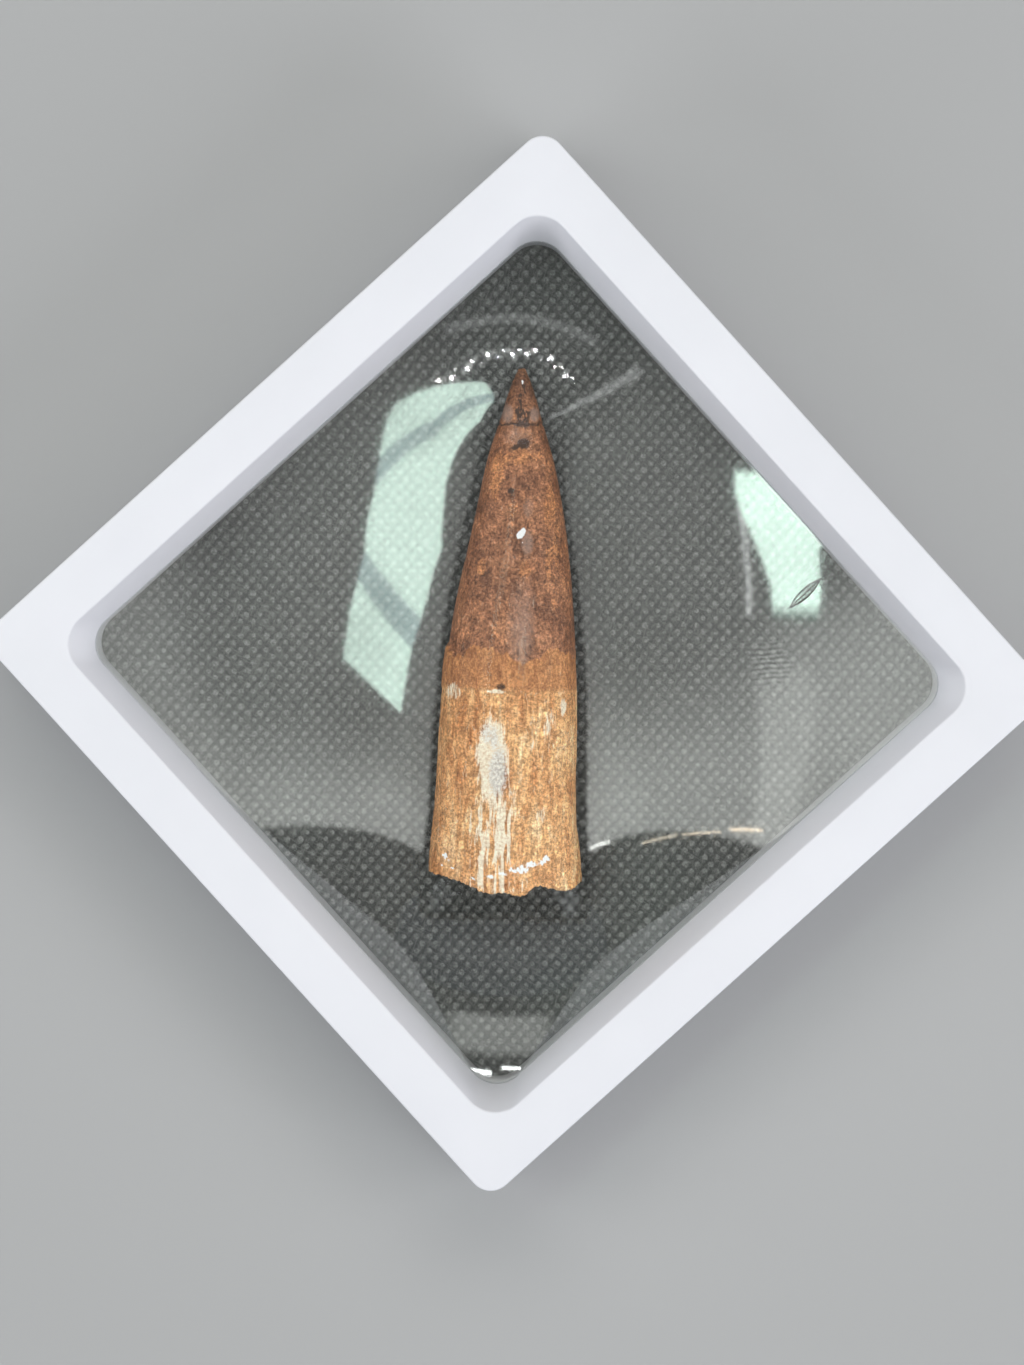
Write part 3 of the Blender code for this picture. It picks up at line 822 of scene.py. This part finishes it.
def make_sheet():
    """The flat dark sheet, with its edge softened."""
    sheet = rounded_block("dark_backing_sheet", SHEET_HIGH.x, SHEET_LOW.z, SHEET_HIGH.z, OUTER_CORNER)
    round_edges(sheet, SHEET_ROUND, 2)
    smooth_shading(sheet, 35)
    return sheet


def make_dots(name, top):
    """Low pressed dots in slanting rows, one dot copied along both directions of the rows."""
    bpy.ops.mesh.primitive_cone_add(
        vertices=DOT_SIDES, radius1=DOT_RADIUS, radius2=DOT_RADIUS * DOT_TOP, depth=DOT_RISE,
        end_fill_type="TRIFAN", location=(0, 0, 0),
    )
    dots = bpy.context.active_object
    dots.name = name
    dots.data.name = name
    select_parts(dots, "FACE", lambda face: face.normal.z < -0.9)
    bpy.ops.mesh.delete(type="FACE")
    leave_edit_mode()
    for vertex in dots.data.vertices:
        if vertex.co.xy.length < 1e-6:
            vertex.co.z += DOT_CROWN * DOT_RISE
    per_dot = len(dots.data.vertices)
    for across, up in (DOT_STEP, (DOT_STEP[0], -DOT_STEP[1])):
        row = dots.modifiers.new("Row", "ARRAY")
        row.count = DOT_COUNT
        row.use_relative_offset = False
        row.use_constant_offset = True
        row.constant_offset_displace = (across, up, 0)
        apply_modifier(dots, row)
    points = read_points(dots).reshape(-1, per_dot, 3) - np.array((DOT_STEP[0] * (DOT_COUNT - 1), 0, 0))
    middle = points.mean(axis=1, keepdims=True)
    chance = np.random.default_rng(4)
    count = len(points)
    grow = chance.uniform(0.82, 1.18, (count, 1, 1))
    shape = chance.uniform(0.86, 1.14, (count, per_dot, 1))
    shift = chance.normal(0, DOT_STRAY, (count, 1, 3))
    local = (points - middle) * np.concatenate([grow * shape, grow * shape, np.ones_like(shape)], axis=2)
    shift[:, :, 2] = 0
    points = middle + local + shift
    bright = np.repeat(chance.uniform(0.55, 1.0, count), per_dot)
    press = bright * np.where(local[:, :, 2].reshape(-1) < 0, 0.0, 1.0)
    points = points.reshape(-1, 3)
    side = 1 if top else -1
    face = SHEET_HIGH.z if top else SHEET_LOW.z
    turn = np.array(Matrix.Rotation(DOT_LATTICE_TURN, 3, "Z"))
    points = points @ turn.T
    points[:, 2] = face + side * (points[:, 2] + DOT_RISE * (0.5 - DOT_SUNK))
    write_points(dots, points)
    paint(dots, "press", press)
    reach = SHEET_HIGH.x - DOT_MARGIN
    select_parts(dots, "VERT", lambda vertex: max(abs(vertex.co.x), abs(vertex.co.y)) > reach)
    bpy.ops.mesh.select_linked()
    bpy.ops.mesh.delete(type="VERT")
    bpy.ops.mesh.select_all(action="SELECT")
    if not top:
        bpy.ops.mesh.flip_normals()
    leave_edit_mode()
    smooth_shading(dots, 80)
    return dots


def new_material(name):
    """A material with its shader and a function that adds a node to it."""
    material = bpy.data.materials.new(name)
    material.use_nodes = True
    tree = material.node_tree
    shader = tree.nodes["Principled BSDF"]

    def add(kind, settings=None, **inputs):
        node = tree.nodes.new(kind)
        for key, value in (settings or {}).items():
            setattr(node, key, value)
        for key, value in inputs.items():
            socket = node.inputs[int(key[1:])] if key[0] == "i" and key[1:].isdigit() else node.inputs[key]
            if isinstance(value, bpy.types.NodeSocket):
                tree.links.new(value, socket)
            else:
                socket.default_value = value
        return node

    return material, tree, shader, add


def object_place(add, stretch=(1, 1, 1), turn=0.0):
    """Object coordinates in axes turned about Z, for a pattern stretched along those axes."""
    place = add("ShaderNodeTexCoord")
    mapping = add("ShaderNodeMapping", {"vector_type": "TEXTURE"}, Vector=place.outputs["Object"])
    mapping.inputs["Rotation"].default_value = (0, 0, turn)
    mapping.inputs["Scale"].default_value = stretch
    return mapping.outputs["Vector"]


def ramp(add, factor, stops):
    """A colour ramp through (position, colour) stops."""
    node = add("ShaderNodeValToRGB", Fac=factor)
    elements = node.color_ramp.elements
    while len(elements) < len(stops):
        elements.new(0.5)
    for element, (position, colour) in zip(elements, stops):
        element.position = position
        element.color = (*colour, 1)
    return node.outputs["Color"]


def grey_ramp(add, factor, low, high):
    """0 on low's side and 1 on high's side, whichever of them is the larger."""
    return ramp(add, factor, sorted(((low, (0, 0, 0)), (high, (1, 1, 1)))))


def blend_colour(add, factor, first, second, mode="MIX"):
    node = add("ShaderNodeMix", {"data_type": "RGBA", "blend_type": mode})
    for socket, value in zip((node.inputs[0], node.inputs[6], node.inputs[7]), (factor, first, second)):
        if isinstance(value, bpy.types.NodeSocket):
            node.id_data.links.new(value, socket)
        elif hasattr(value, "__len__") and len(value) == 3:
            socket.default_value = (*value, 1)
        else:
            socket.default_value = value
    return node.outputs[2]


def math_node(add, operation, first, second=0.0, third=0.0):
    node = add("ShaderNodeMath", {"operation": operation}, i0=first, i1=second, i2=third)
    return node.outputs[0]


def product(add, *factors):
    result = factors[0]
    for factor in factors[1:]:
        result = math_node(add, "MULTIPLY", result, factor)
    return result


def smooth_step(add, value, start, end, low=0.0, high=1.0):
    """From low before start to high past end, with soft shoulders."""
    node = add("ShaderNodeMapRange", {"interpolation_type": "SMOOTHSTEP"}, Value=value)
    node.inputs["From Min"].default_value = start
    node.inputs["From Max"].default_value = end
    node.inputs["To Min"].default_value = low
    node.inputs["To Max"].default_value = high
    return node.outputs["Result"]


def attribute(add, name):
    return add("ShaderNodeAttribute", {"attribute_name": name}).outputs["Fac"]


def fine_noise(add, place, scale, detail=4.0, roughness=0.55, distortion=0.0):
    node = add("ShaderNodeTexNoise", Vector=place, Scale=scale, Detail=detail, Roughness=roughness)
    node.inputs["Distortion"].default_value = distortion
    return node.outputs["Fac"]


def bump(add, height, strength, distance, normal=None):
    node = add("ShaderNodeBump", Height=height, Strength=strength, Distance=distance)
    if normal is not None:
        node.id_data.links.new(normal, node.inputs["Normal"])
    return node.outputs["Normal"]


def white_plastic():
    """Bright moulded plastic with a satin gloss and the faintest ripple."""
    material, tree, shader, add = new_material("moulded white plastic")
    place = object_place(add)
    cloud = fine_noise(add, place, 45.0, 3.0)
    colour = ramp(add, cloud, ((0.3, (0.765, 0.765, 0.805)), (0.7, (0.800, 0.798, 0.838))))
    tree.links.new(colour, shader.inputs["Base Color"])
    ripple = fine_noise(add, place, 900.0, 2.0)
    rough = add("ShaderNodeMapRange", Value=ripple)
    rough.inputs["To Min"].default_value = 0.30
    rough.inputs["To Max"].default_value = 0.42
    tree.links.new(rough.outputs["Result"], shader.inputs["Roughness"])
    tree.links.new(bump(add, ripple, 0.06, 0.0002), shader.inputs["Normal"])
    shader.inputs["IOR"].default_value = 1.49
    return material


def crease_height(add):
    """A thin leaf-shaped crease with a groove down its middle, crumpled towards its far end."""
    place = object_place(add, (1, 1, 1), CREASE_TURN)
    place.node.inputs["Location"].default_value = CREASE_START
    spot = add("ShaderNodeSeparateXYZ", i0=place)
    along = math_node(add, "MULTIPLY", spot.outputs["X"], 1 / CREASE_LENGTH)
    aside = math_node(add, "ABSOLUTE", spot.outputs["Y"])
    taper = math_node(add, "MULTIPLY", along, math_node(add, "SUBTRACT", 1.0, along))
    past_edge = math_node(add, "SUBTRACT", aside, math_node(add, "MULTIPLY", taper, 4 * CREASE_HALF_WIDTH))
    inside = smooth_step(add, past_edge, -CREASE_EDGE, CREASE_EDGE, 1.0, 0.0)
    groove = smooth_step(add, aside, 0.0, CREASE_EDGE, 0.7, 1.0)
    crumpled = product(add, fine_noise(add, place, 1900.0, 2.0), along, 0.6)
    return product(add, inside, math_node(add, "ADD", groove, crumpled))


def clear_film(name, mirror, gloss_roughness, creased=False):
    """Clear glossy film: what is behind it shows through, and it mirrors more at a slant.

    Where it lies on the tooth or falls steeply beside it, it mirrors next to nothing.
    """
    material, tree, shader, add = new_material(name)
    tree.nodes.remove(shader)
    facing = add("ShaderNodeLayerWeight", Blend=0.5)
    slant = math_node(add, "POWER", facing.outputs["Facing"], 5.0)
    share = math_node(add, "MULTIPLY_ADD", slant, SLANT_MIRROR, mirror)
    share = product(add, share, smooth_step(add, attribute(add, "cover"), 0.15, 0.75, 1.0, 0.05))
    place = object_place(add)
    drift = fine_noise(add, place, 60.0, 3.0)
    tint = ramp(add, drift, ((0.3, (0.985, 0.990, 0.987)), (0.7, (0.995, 0.997, 0.996))))
    through = add("ShaderNodeBsdfTransparent", Color=tint)
    gloss = add("ShaderNodeBsdfAnisotropic")
    lint = fine_noise(add, place, 2200.0, 2.0)
    rough = smooth_step(add, lint, 0.45, 0.75, gloss_roughness, gloss_roughness * 2.2)
    tree.links.new(rough, gloss.inputs["Roughness"])
    gloss.inputs["Color"].default_value = (0.97, 1.0, 0.99, 1)
    swell = fine_noise(add, place, 130.0, 2.0)
    normal = bump(add, swell, 0.010, 0.0004)
    wave_place = object_place(add, (1, 1, 1), RIPPLE_TURN)
    waves = add("ShaderNodeTexWave", Vector=wave_place, Scale=430.0, Distortion=5.0, Detail=2.0)
    waves.inputs["Detail Scale"].default_value = 0.6
    ripples = product(add, waves.outputs["Fac"], attribute(add, "ripple"))
    normal = bump(add, ripples, 0.10, 0.00004, normal)
    if creased:
        normal = bump(add, crease_height(add), 1.0, CREASE_HEIGHT, normal)
    tree.links.new(normal, gloss.inputs["Normal"])
    mix = add("ShaderNodeMixShader", i0=share, i1=through.outputs[0], i2=gloss.outputs[0])
    tree.links.new(mix.outputs[0], tree.nodes["Material Output"].inputs["Surface"])
    return material


def dark_sheet():
    """A dull grey felt of loose fibres, darkest between its lighter pressed dots."""
    material, tree, shader, add = new_material("dark dotted sheet")
    place = object_place(add)
    wobble = add("ShaderNodeTexNoise", Vector=place, Scale=900.0, Detail=2.0)
    wobbled = add("ShaderNodeVectorMath", {"operation": "MULTIPLY_ADD"}, i0=wobble.outputs["Color"])
    wobbled.inputs[1].default_value = (0.0005, 0.0005, 0)
    tree.links.new(object_place(add, (1, 1, 1), DOT_LATTICE_TURN), wobbled.inputs[2])
    lattice = add("ShaderNodeSeparateXYZ", i0=wobbled.outputs[0])
    waves = [
        math_node(add, "COSINE", math_node(add, "MULTIPLY", lattice.outputs[axis], math.pi / step))
        for axis, step in zip(("X", "Y"), DOT_STEP)
    ]
    from_line = math_node(add, "ABSOLUTE", math_node(add, "SUBTRACT", *waves))
    between = smooth_step(add, from_line, 0.0, 1.1, 1.0, 0.0)
    cloud = fine_noise(add, place, 2300.0, 5.0, 0.7)
    fibres = add("ShaderNodeMath", {"operation": "MAXIMUM"})
    for socket, turn in zip(fibres.inputs, (0.35, -1.05)):
        strand = fine_noise(add, object_place(add, (1.0, 8.0, 1.0), turn), 3600.0, 3.0, 0.6)
        tree.links.new(strand, socket)
    strands = grey_ramp(add, fibres.outputs[0], 0.54, 0.66)
    ground = ramp(add, cloud, ((0.38, (0.036, 0.036, 0.035)), (0.62, (0.150, 0.150, 0.144))))
    ground = blend_colour(add, math_node(add, "MULTIPLY", between, 0.68), ground, (0.012, 0.012, 0.012))
    ground = blend_colour(add, math_node(add, "MULTIPLY", strands, 0.50), ground, (0.22, 0.22, 0.21))
    light = ramp(add, cloud, ((0.38, (0.13, 0.13, 0.126)), (0.62, (0.38, 0.38, 0.368))))
    pressed = smooth_step(add, attribute(add, "press"), 0.0, 0.75, 0.0, 0.9)
    colour = blend_colour(add, pressed, ground, light)
    tree.links.new(colour, shader.inputs["Base Color"])
    tree.links.new(bump(add, fibres.outputs[0], 0.6, 0.00015), shader.inputs["Normal"])
    shader.inputs["Roughness"].default_value = 0.62
    return material


def fossil_material():
    """Brown enamel over a tan fibrous root, with cream, grey, orange and black patches, painted white
    highlights, and painted shade on the root's left side.
    """
    material, tree, shader, add = new_material("fossil tooth")
    names = ("root", "cream", "grey", "dark", "pale", "orange", "tone", "stain", "white", "tip")
    masks = {name: attribute(add, name) for name in names}
    level = object_place(add, (1, 1, 1), TOOTH_TURN)
    streaks = fine_noise(add, object_place(add, (1.0, 7.0, 1.0), TOOTH_TURN), 2600.0, 5.0, 0.66, 0.4)
    broad = fine_noise(add, object_place(add, (1.0, 4.0, 1.0), TOOTH_TURN), 560.0, 5.0, 0.62, 0.5)
    wisps = fine_noise(add, object_place(add, (1.0, 2.6, 1.0), TOOTH_TURN), 950.0, 6.0, 0.72, 1.3)
    grain = fine_noise(add, level, 2600.0, 5.0, 0.75)
    mottle = fine_noise(add, level, 1150.0, 5.0, 0.70, 0.8)
    patches = fine_noise(add, level, 210.0, 4.0, 0.6)

    def vary(colour, factor, low, high, start=0.38, end=0.62):
        """Darken and lighten a colour with a pattern."""
        shade = ramp(add, factor, ((start, (low, low * 0.94, low * 0.88)), (end, (high, high, high * 0.98))))
        return blend_colour(add, 1.0, colour, shade, "MULTIPLY")

    def roughen(mask, factor, strength, start, end):
        """Give a soft mask a ragged edge that follows a pattern."""
        spread = math_node(add, "MULTIPLY_ADD", factor, strength, -strength / 2)
        return grey_ramp(add, math_node(add, "ADD", mask, spread), start, end)

    def lay(share, strength, below, colour):
        """Lay one colour over another."""
        return blend_colour(add, math_node(add, "MULTIPLY", share, strength), below, colour)

    crown = ramp(add, patches, (
        (0.34, (0.210, 0.100, 0.060)),
        (0.48, (0.320, 0.150, 0.085)),
        (0.64, (0.380, 0.188, 0.108)),
    ))
    crown = vary(crown, masks["tip"], 1.0, 0.52, 0.0, 1.0)
    crown = vary(crown, wisps, 0.60, 1.36)
    crown = vary(crown, mottle, 0.66, 1.36)
    crown = vary(crown, grain, 0.50, 1.60)
    rust = ramp(add, mottle, ((0.40, (0.400, 0.150, 0.060)), (0.62, (0.820, 0.370, 0.140))))
    rust = vary(rust, grain, 0.5, 1.4)
    orange_mask = roughen(roughen(masks["orange"], wisps, 3.0, 0.40, 1.0), grain, 2.4, 0.35, 0.95)
    crown = lay(orange_mask, 0.60, crown, rust)
    pale_mask = roughen(masks["pale"], mottle, 0.9, 0.30, 0.95)
    crown = lay(pale_mask, 0.60, crown, (0.40, 0.285, 0.235))
    crown = lay(grey_ramp(add, mottle, 0.62, 0.70), 0.60, crown, (0.80, 0.50, 0.32))
    crown = lay(grey_ramp(add, wisps, 0.36, 0.27), 0.65, crown, (0.050, 0.030, 0.024))

    root = ramp(add, broad, (
        (0.34, (0.560, 0.260, 0.110)),
        (0.46, (0.740, 0.400, 0.190)),
        (0.56, (0.860, 0.510, 0.260)),
        (0.68, (0.960, 0.680, 0.430)),
    ))
    root = vary(root, streaks, 0.74, 1.18)
    root = vary(root, mottle, 0.66, 1.28)
    root = vary(root, grain, 0.58, 1.40)
    # Painted shade: the root darker on its left and lighter on its right.
    root = vary(root, masks["tone"], 0.92, 1.08, 0.15, 0.85)
    root = lay(grey_ramp(add, wisps, 0.58, 0.68), 0.60, root, (0.98, 0.78, 0.54))
    root = lay(grey_ramp(add, wisps, 0.40, 0.30), 0.60, root, (0.260, 0.105, 0.042))
    stain = vary(ramp(add, wisps, (
        (0.40, (0.320, 0.120, 0.050)),
        (0.60, (0.640, 0.290, 0.115)),
    )), grain, 0.62, 1.30)
    root = lay(roughen(masks["stain"], mottle, 0.9, 0.35, 0.75), 0.88, root, stain)
    root_mask = roughen(masks["root"], mottle, 1.2, 0.30, 0.70)
    colour = blend_colour(add, root_mask, crown, root)

    cream_mask = roughen(masks["cream"], streaks, 2.2, 0.38, 0.66)
    cream = vary(ramp(add, grain, (
        (0.38, (0.78, 0.60, 0.42)),
        (0.54, (1.00, 0.92, 0.75)),
    )), mottle, 0.88, 1.08)
    colour = blend_colour(add, cream_mask, colour, cream)
    grey_mask = roughen(masks["grey"], grain, 2.6, 0.55, 0.85)
    grey = ramp(add, grain, ((0.42, (0.30, 0.31, 0.36)), (0.58, (0.90, 0.86, 0.80))))
    colour = lay(grey_mask, 0.66, colour, grey)
    dark_mask = roughen(masks["dark"], mottle, 1.8, 0.42, 0.80)
    colour = lay(dark_mask, 0.88, colour, (0.030, 0.019, 0.016))
    # Painted highlights: white glints of the film where it lies on the tooth.
    painted_glint_mask = roughen(masks["white"], grain, 1.6, 0.42, 0.62)
    colour = blend_colour(add, painted_glint_mask, colour, (0.98, 0.98, 0.98))
    colour.node.clamp_result = True
    tree.links.new(colour, shader.inputs["Base Color"])

    shine = smooth_step(add, root_mask, 0.0, 1.0, 0.40, 0.68)
    tree.links.new(shine, shader.inputs["Roughness"])
    relief = blend_colour(add, root_mask, grain, streaks)
    lumps = bump(add, mottle, 0.5, 0.00035)
    tree.links.new(bump(add, relief, 0.7, 0.00025, lumps), shader.inputs["Normal"])
    return material


def pale_floor():
    """A plain pale floor, not part of the object."""
    bpy.ops.mesh.primitive_plane_add(size=FLOOR_SIZE, location=-HIGH * FLOOR_DROP)
    floor = bpy.context.active_object
    floor.name = "studio_floor"
    material, tree, shader, add = new_material("pale floor")
    cloud = fine_noise(add, object_place(add), 3.0, 2.0)
    colour = ramp(add, cloud, ((0.3, (0.40, 0.40, 0.40)), (0.7, (0.42, 0.42, 0.42))))
    tree.links.new(colour, shader.inputs["Base Color"])
    shader.inputs["Roughness"].default_value = 0.85
    floor.data.materials.append(material)


def place_towards(thing, place, back, side):
    """Put a lamp or camera at a place, its back turned one way and its right hand another."""
    matrix = Matrix((side, back.cross(side), back)).transposed().to_4x4()
    matrix.translation = place
    thing.matrix_world = matrix


def add_lamp(name, width, height, brightness, colour):
    """A soft rectangular lamp, its brightness the same at any size."""
    lamp = bpy.data.lights.new(name, "AREA")
    lamp.shape = "RECTANGLE"
    lamp.size = width
    lamp.size_y = height
    lamp.energy = brightness * math.pi * width * height
    lamp.color = colour
    thing = bpy.data.objects.new(name, lamp)
    bpy.context.scene.collection.objects.link(thing)
    return thing


def soft_lamp(name, place, width, height, brightness, colour):
    """A soft lamp beside the object, facing it."""
    back = place.normalized()
    lamp = add_lamp(name, width, height, brightness, colour)
    place_towards(lamp, place, back, HIGH.cross(back).normalized())


def overhead_lamp(name, right, up, width, height, turn, brightness, colour):
    """A flat lamp above the object, placed to the right and up as the photograph sees it."""
    lamp = add_lamp(name, width, height, brightness, colour)
    lamp.location = RIGHT * right + UP * up + HIGH * LAMP_LEVEL
    lamp.rotation_euler = (0, 0, PHOTO_TURN + math.radians(turn))


def hide_panel(panel):
    """Keep a glowing panel out of the camera's view and out of the lamps' way."""
    panel.visible_camera = False
    panel.visible_shadow = False


def window_pane(name, corners, brightness, colour, fade=None):
    """A glowing pane overhead with the outline that the stretched film mirrors; fade dims its lower edge."""
    mesh = bpy.data.meshes.new(name)
    points = [RIGHT * right + UP * up + HIGH * LAMP_LEVEL for right, up in corners]
    mesh.from_pydata(points, [], [range(len(points))])
    pane = bpy.data.objects.new(name, mesh)
    bpy.context.scene.collection.objects.link(pane)
    material, tree, shader, add = new_material(name)
    tree.nodes.remove(shader)
    cloud = fine_noise(add, object_place(add), 7.0, 2.0)
    shade = smooth_step(add, cloud, 0.35, 0.65, 0.88 * brightness, 1.14 * brightness)
    if fade:
        level = add("ShaderNodeSeparateXYZ", i0=object_place(add, (1, 1, 1), PHOTO_TURN))
        slanted = math_node(add, "MULTIPLY_ADD", level.outputs["X"], PANE_FADE_SLANT, level.outputs["Y"])
        shade = product(add, shade, smooth_step(add, slanted, *fade, PANE_FADE_TO))
    glow = add("ShaderNodeEmission", Color=(*colour, 1), Strength=shade)
    tree.links.new(glow.outputs[0], tree.nodes["Material Output"].inputs["Surface"])
    mesh.materials.append(material)
    hide_panel(pane)


def ceiling():
    """A dim ceiling whose glow fades upwards and to the left and stops short at the bottom."""
    place = HIGH * (LAMP_LEVEL + CEILING_GAP) - UP * CEILING_DOWN
    bpy.ops.mesh.primitive_plane_add(size=1, location=place)
    panel = bpy.context.active_object
    panel.name = "studio_ceiling"
    panel.scale = (CEILING_WIDTH, CEILING_HEIGHT, 1)
    panel.rotation_euler = (0, 0, PHOTO_TURN)
    settle(panel)
    material, tree, shader, add = new_material("studio ceiling")
    tree.nodes.remove(shader)
    level = add("ShaderNodeSeparateXYZ", i0=object_place(add, (1, 1, 1), PHOTO_TURN))
    right = level.outputs["X"]
    up = level.outputs["Y"]
    from_oval = add("ShaderNodeCombineXYZ")
    for socket, value, middle, half in zip(from_oval.inputs, (right, up), OVAL_MIDDLE, OVAL_HALF):
        share = math_node(add, "DIVIDE", math_node(add, "SUBTRACT", value, middle), half)
        tree.links.new(share, socket)
    from_oval = add("ShaderNodeVectorMath", {"operation": "LENGTH"}, i0=from_oval.outputs[0])
    measures = {
        "right": right,
        "up": up,
        "sideways": math_node(add, "ABSOLUTE", right),
        "slanted up": math_node(add, "MULTIPLY_ADD", right, BORDER_SLANT, up),
        "bent up": math_node(add, "ADD", up, smooth_step(add, right, *LEFT_BEND)),
        "from oval": from_oval.outputs["Value"],
    }
    glow = CEILING_GLOW
    for brightness, *edges in CEILING_PARTS.values():
        shares = [smooth_step(add, measures[name], nothing, full) for name, nothing, full in edges]
        glow = math_node(add, "ADD", glow, product(add, brightness, *shares))
    emission = add("ShaderNodeEmission", Color=(1.0, 1.0, 0.97, 1), Strength=glow)
    tree.links.new(emission.outputs[0], tree.nodes["Material Output"].inputs["Surface"])
    panel.data.materials.append(material)
    hide_panel(panel)


def make_camera():
    camera = bpy.data.objects.new("camera", bpy.data.cameras.new("camera"))
    camera.data.sensor_width = SENSOR
    camera.data.lens = FOCAL_PIXELS * SENSOR / PHOTO_HEIGHT
    camera.data.clip_start = 0.01
    back = -CAMERA_AHEAD.normalized()
    side = (CAMERA_RIGHT - CAMERA_RIGHT.dot(back) * back).normalized()
    place_towards(camera, CAMERA_PLACE, back, side)
    bpy.context.scene.collection.objects.link(camera)
    bpy.context.scene.camera = camera


def bulb_row():
    """The zigzag row of bulbs."""
    for index in range(BULB_COUNT):
        right = BULB_START + BULB_STEP * index
        bend = BULB_RISE * max(0, right) - BULB_BEND * min(0, right - BULB_BEND_START) ** 2
        up = BULB_UP + BULB_ZIGZAG * (index % 2) + bend
        size = BULB_SIZE * (1 + 0.5 * math.sin(2.3 * index))
        overhead_lamp(f"bulb_{index}", right, up, size, size * 2.2, 0.0, BULB_BRIGHTNESS, (1, 1, 1))


def make_lights():
    """Soft lamps beside the frame that the film hardly mirrors, and the window and ceiling above."""
    for name, place, width, height, brightness, colour in SIDE_LAMPS:
        soft_lamp(name, place, width, height, brightness, colour)
    for name, brightness, colour, corners in LEFT_WINDOW:
        window_pane(name, corners, brightness, colour)
    name, brightness, colour, corners = RIGHT_PANE
    window_pane(name, corners, brightness, colour, RIGHT_PANE_FADE)
    for name, right, up, width, height, turn, brightness, colour in THIN_LINES:
        overhead_lamp(name, right, up, width, height, turn, brightness, colour)
    bulb_row()
    ceiling()
    world = bpy.data.worlds.new("studio")
    world.use_nodes = True
    world.node_tree.nodes["Background"].inputs["Color"].default_value = (0.86, 0.91, 1.0, 1)
    world.node_tree.nodes["Background"].inputs["Strength"].default_value = WORLD_GLOW
    bpy.context.scene.world = world
    bpy.context.scene.view_settings.view_transform = "Standard"


def place_piece(piece, material, slot, *nodes):
    """Give a piece its material and its place in the assembly."""
    piece.data.materials.clear()
    piece.data.materials.append(material)
    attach(piece, "root")
    if nodes:
        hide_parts(*nodes)


def main():
    make_camera()
    plastic = white_plastic()
    front_film = clear_film("clear front film", mirror=0.08, gloss_roughness=0.03, creased=True)
    back_film = clear_film("clear back film", mirror=0.012, gloss_roughness=0.25)
    sheet = dark_sheet()
    place_piece(make_front_half(), plastic, "white_plastic", "front_frame")
    place_piece(make_back_half(), plastic, "white_plastic", "back_frame")
    place_piece(make_film("stretched_front_film", True), front_film, "clear_film", "front_film")
    place_piece(make_film("stretched_back_film", False), back_film, "clear_film", "back_film")
    place_piece(make_sheet(), sheet, "dark_sheet", "backing_sheet")
    place_piece(make_dots("pressed_dots_front", True), sheet, "dark_sheet")
    place_piece(make_dots("pressed_dots_back", False), sheet, "dark_sheet")
    place_piece(make_tooth(), fossil_material(), "fossil_tooth", "tooth")
    pale_floor()
    make_lights()


main()
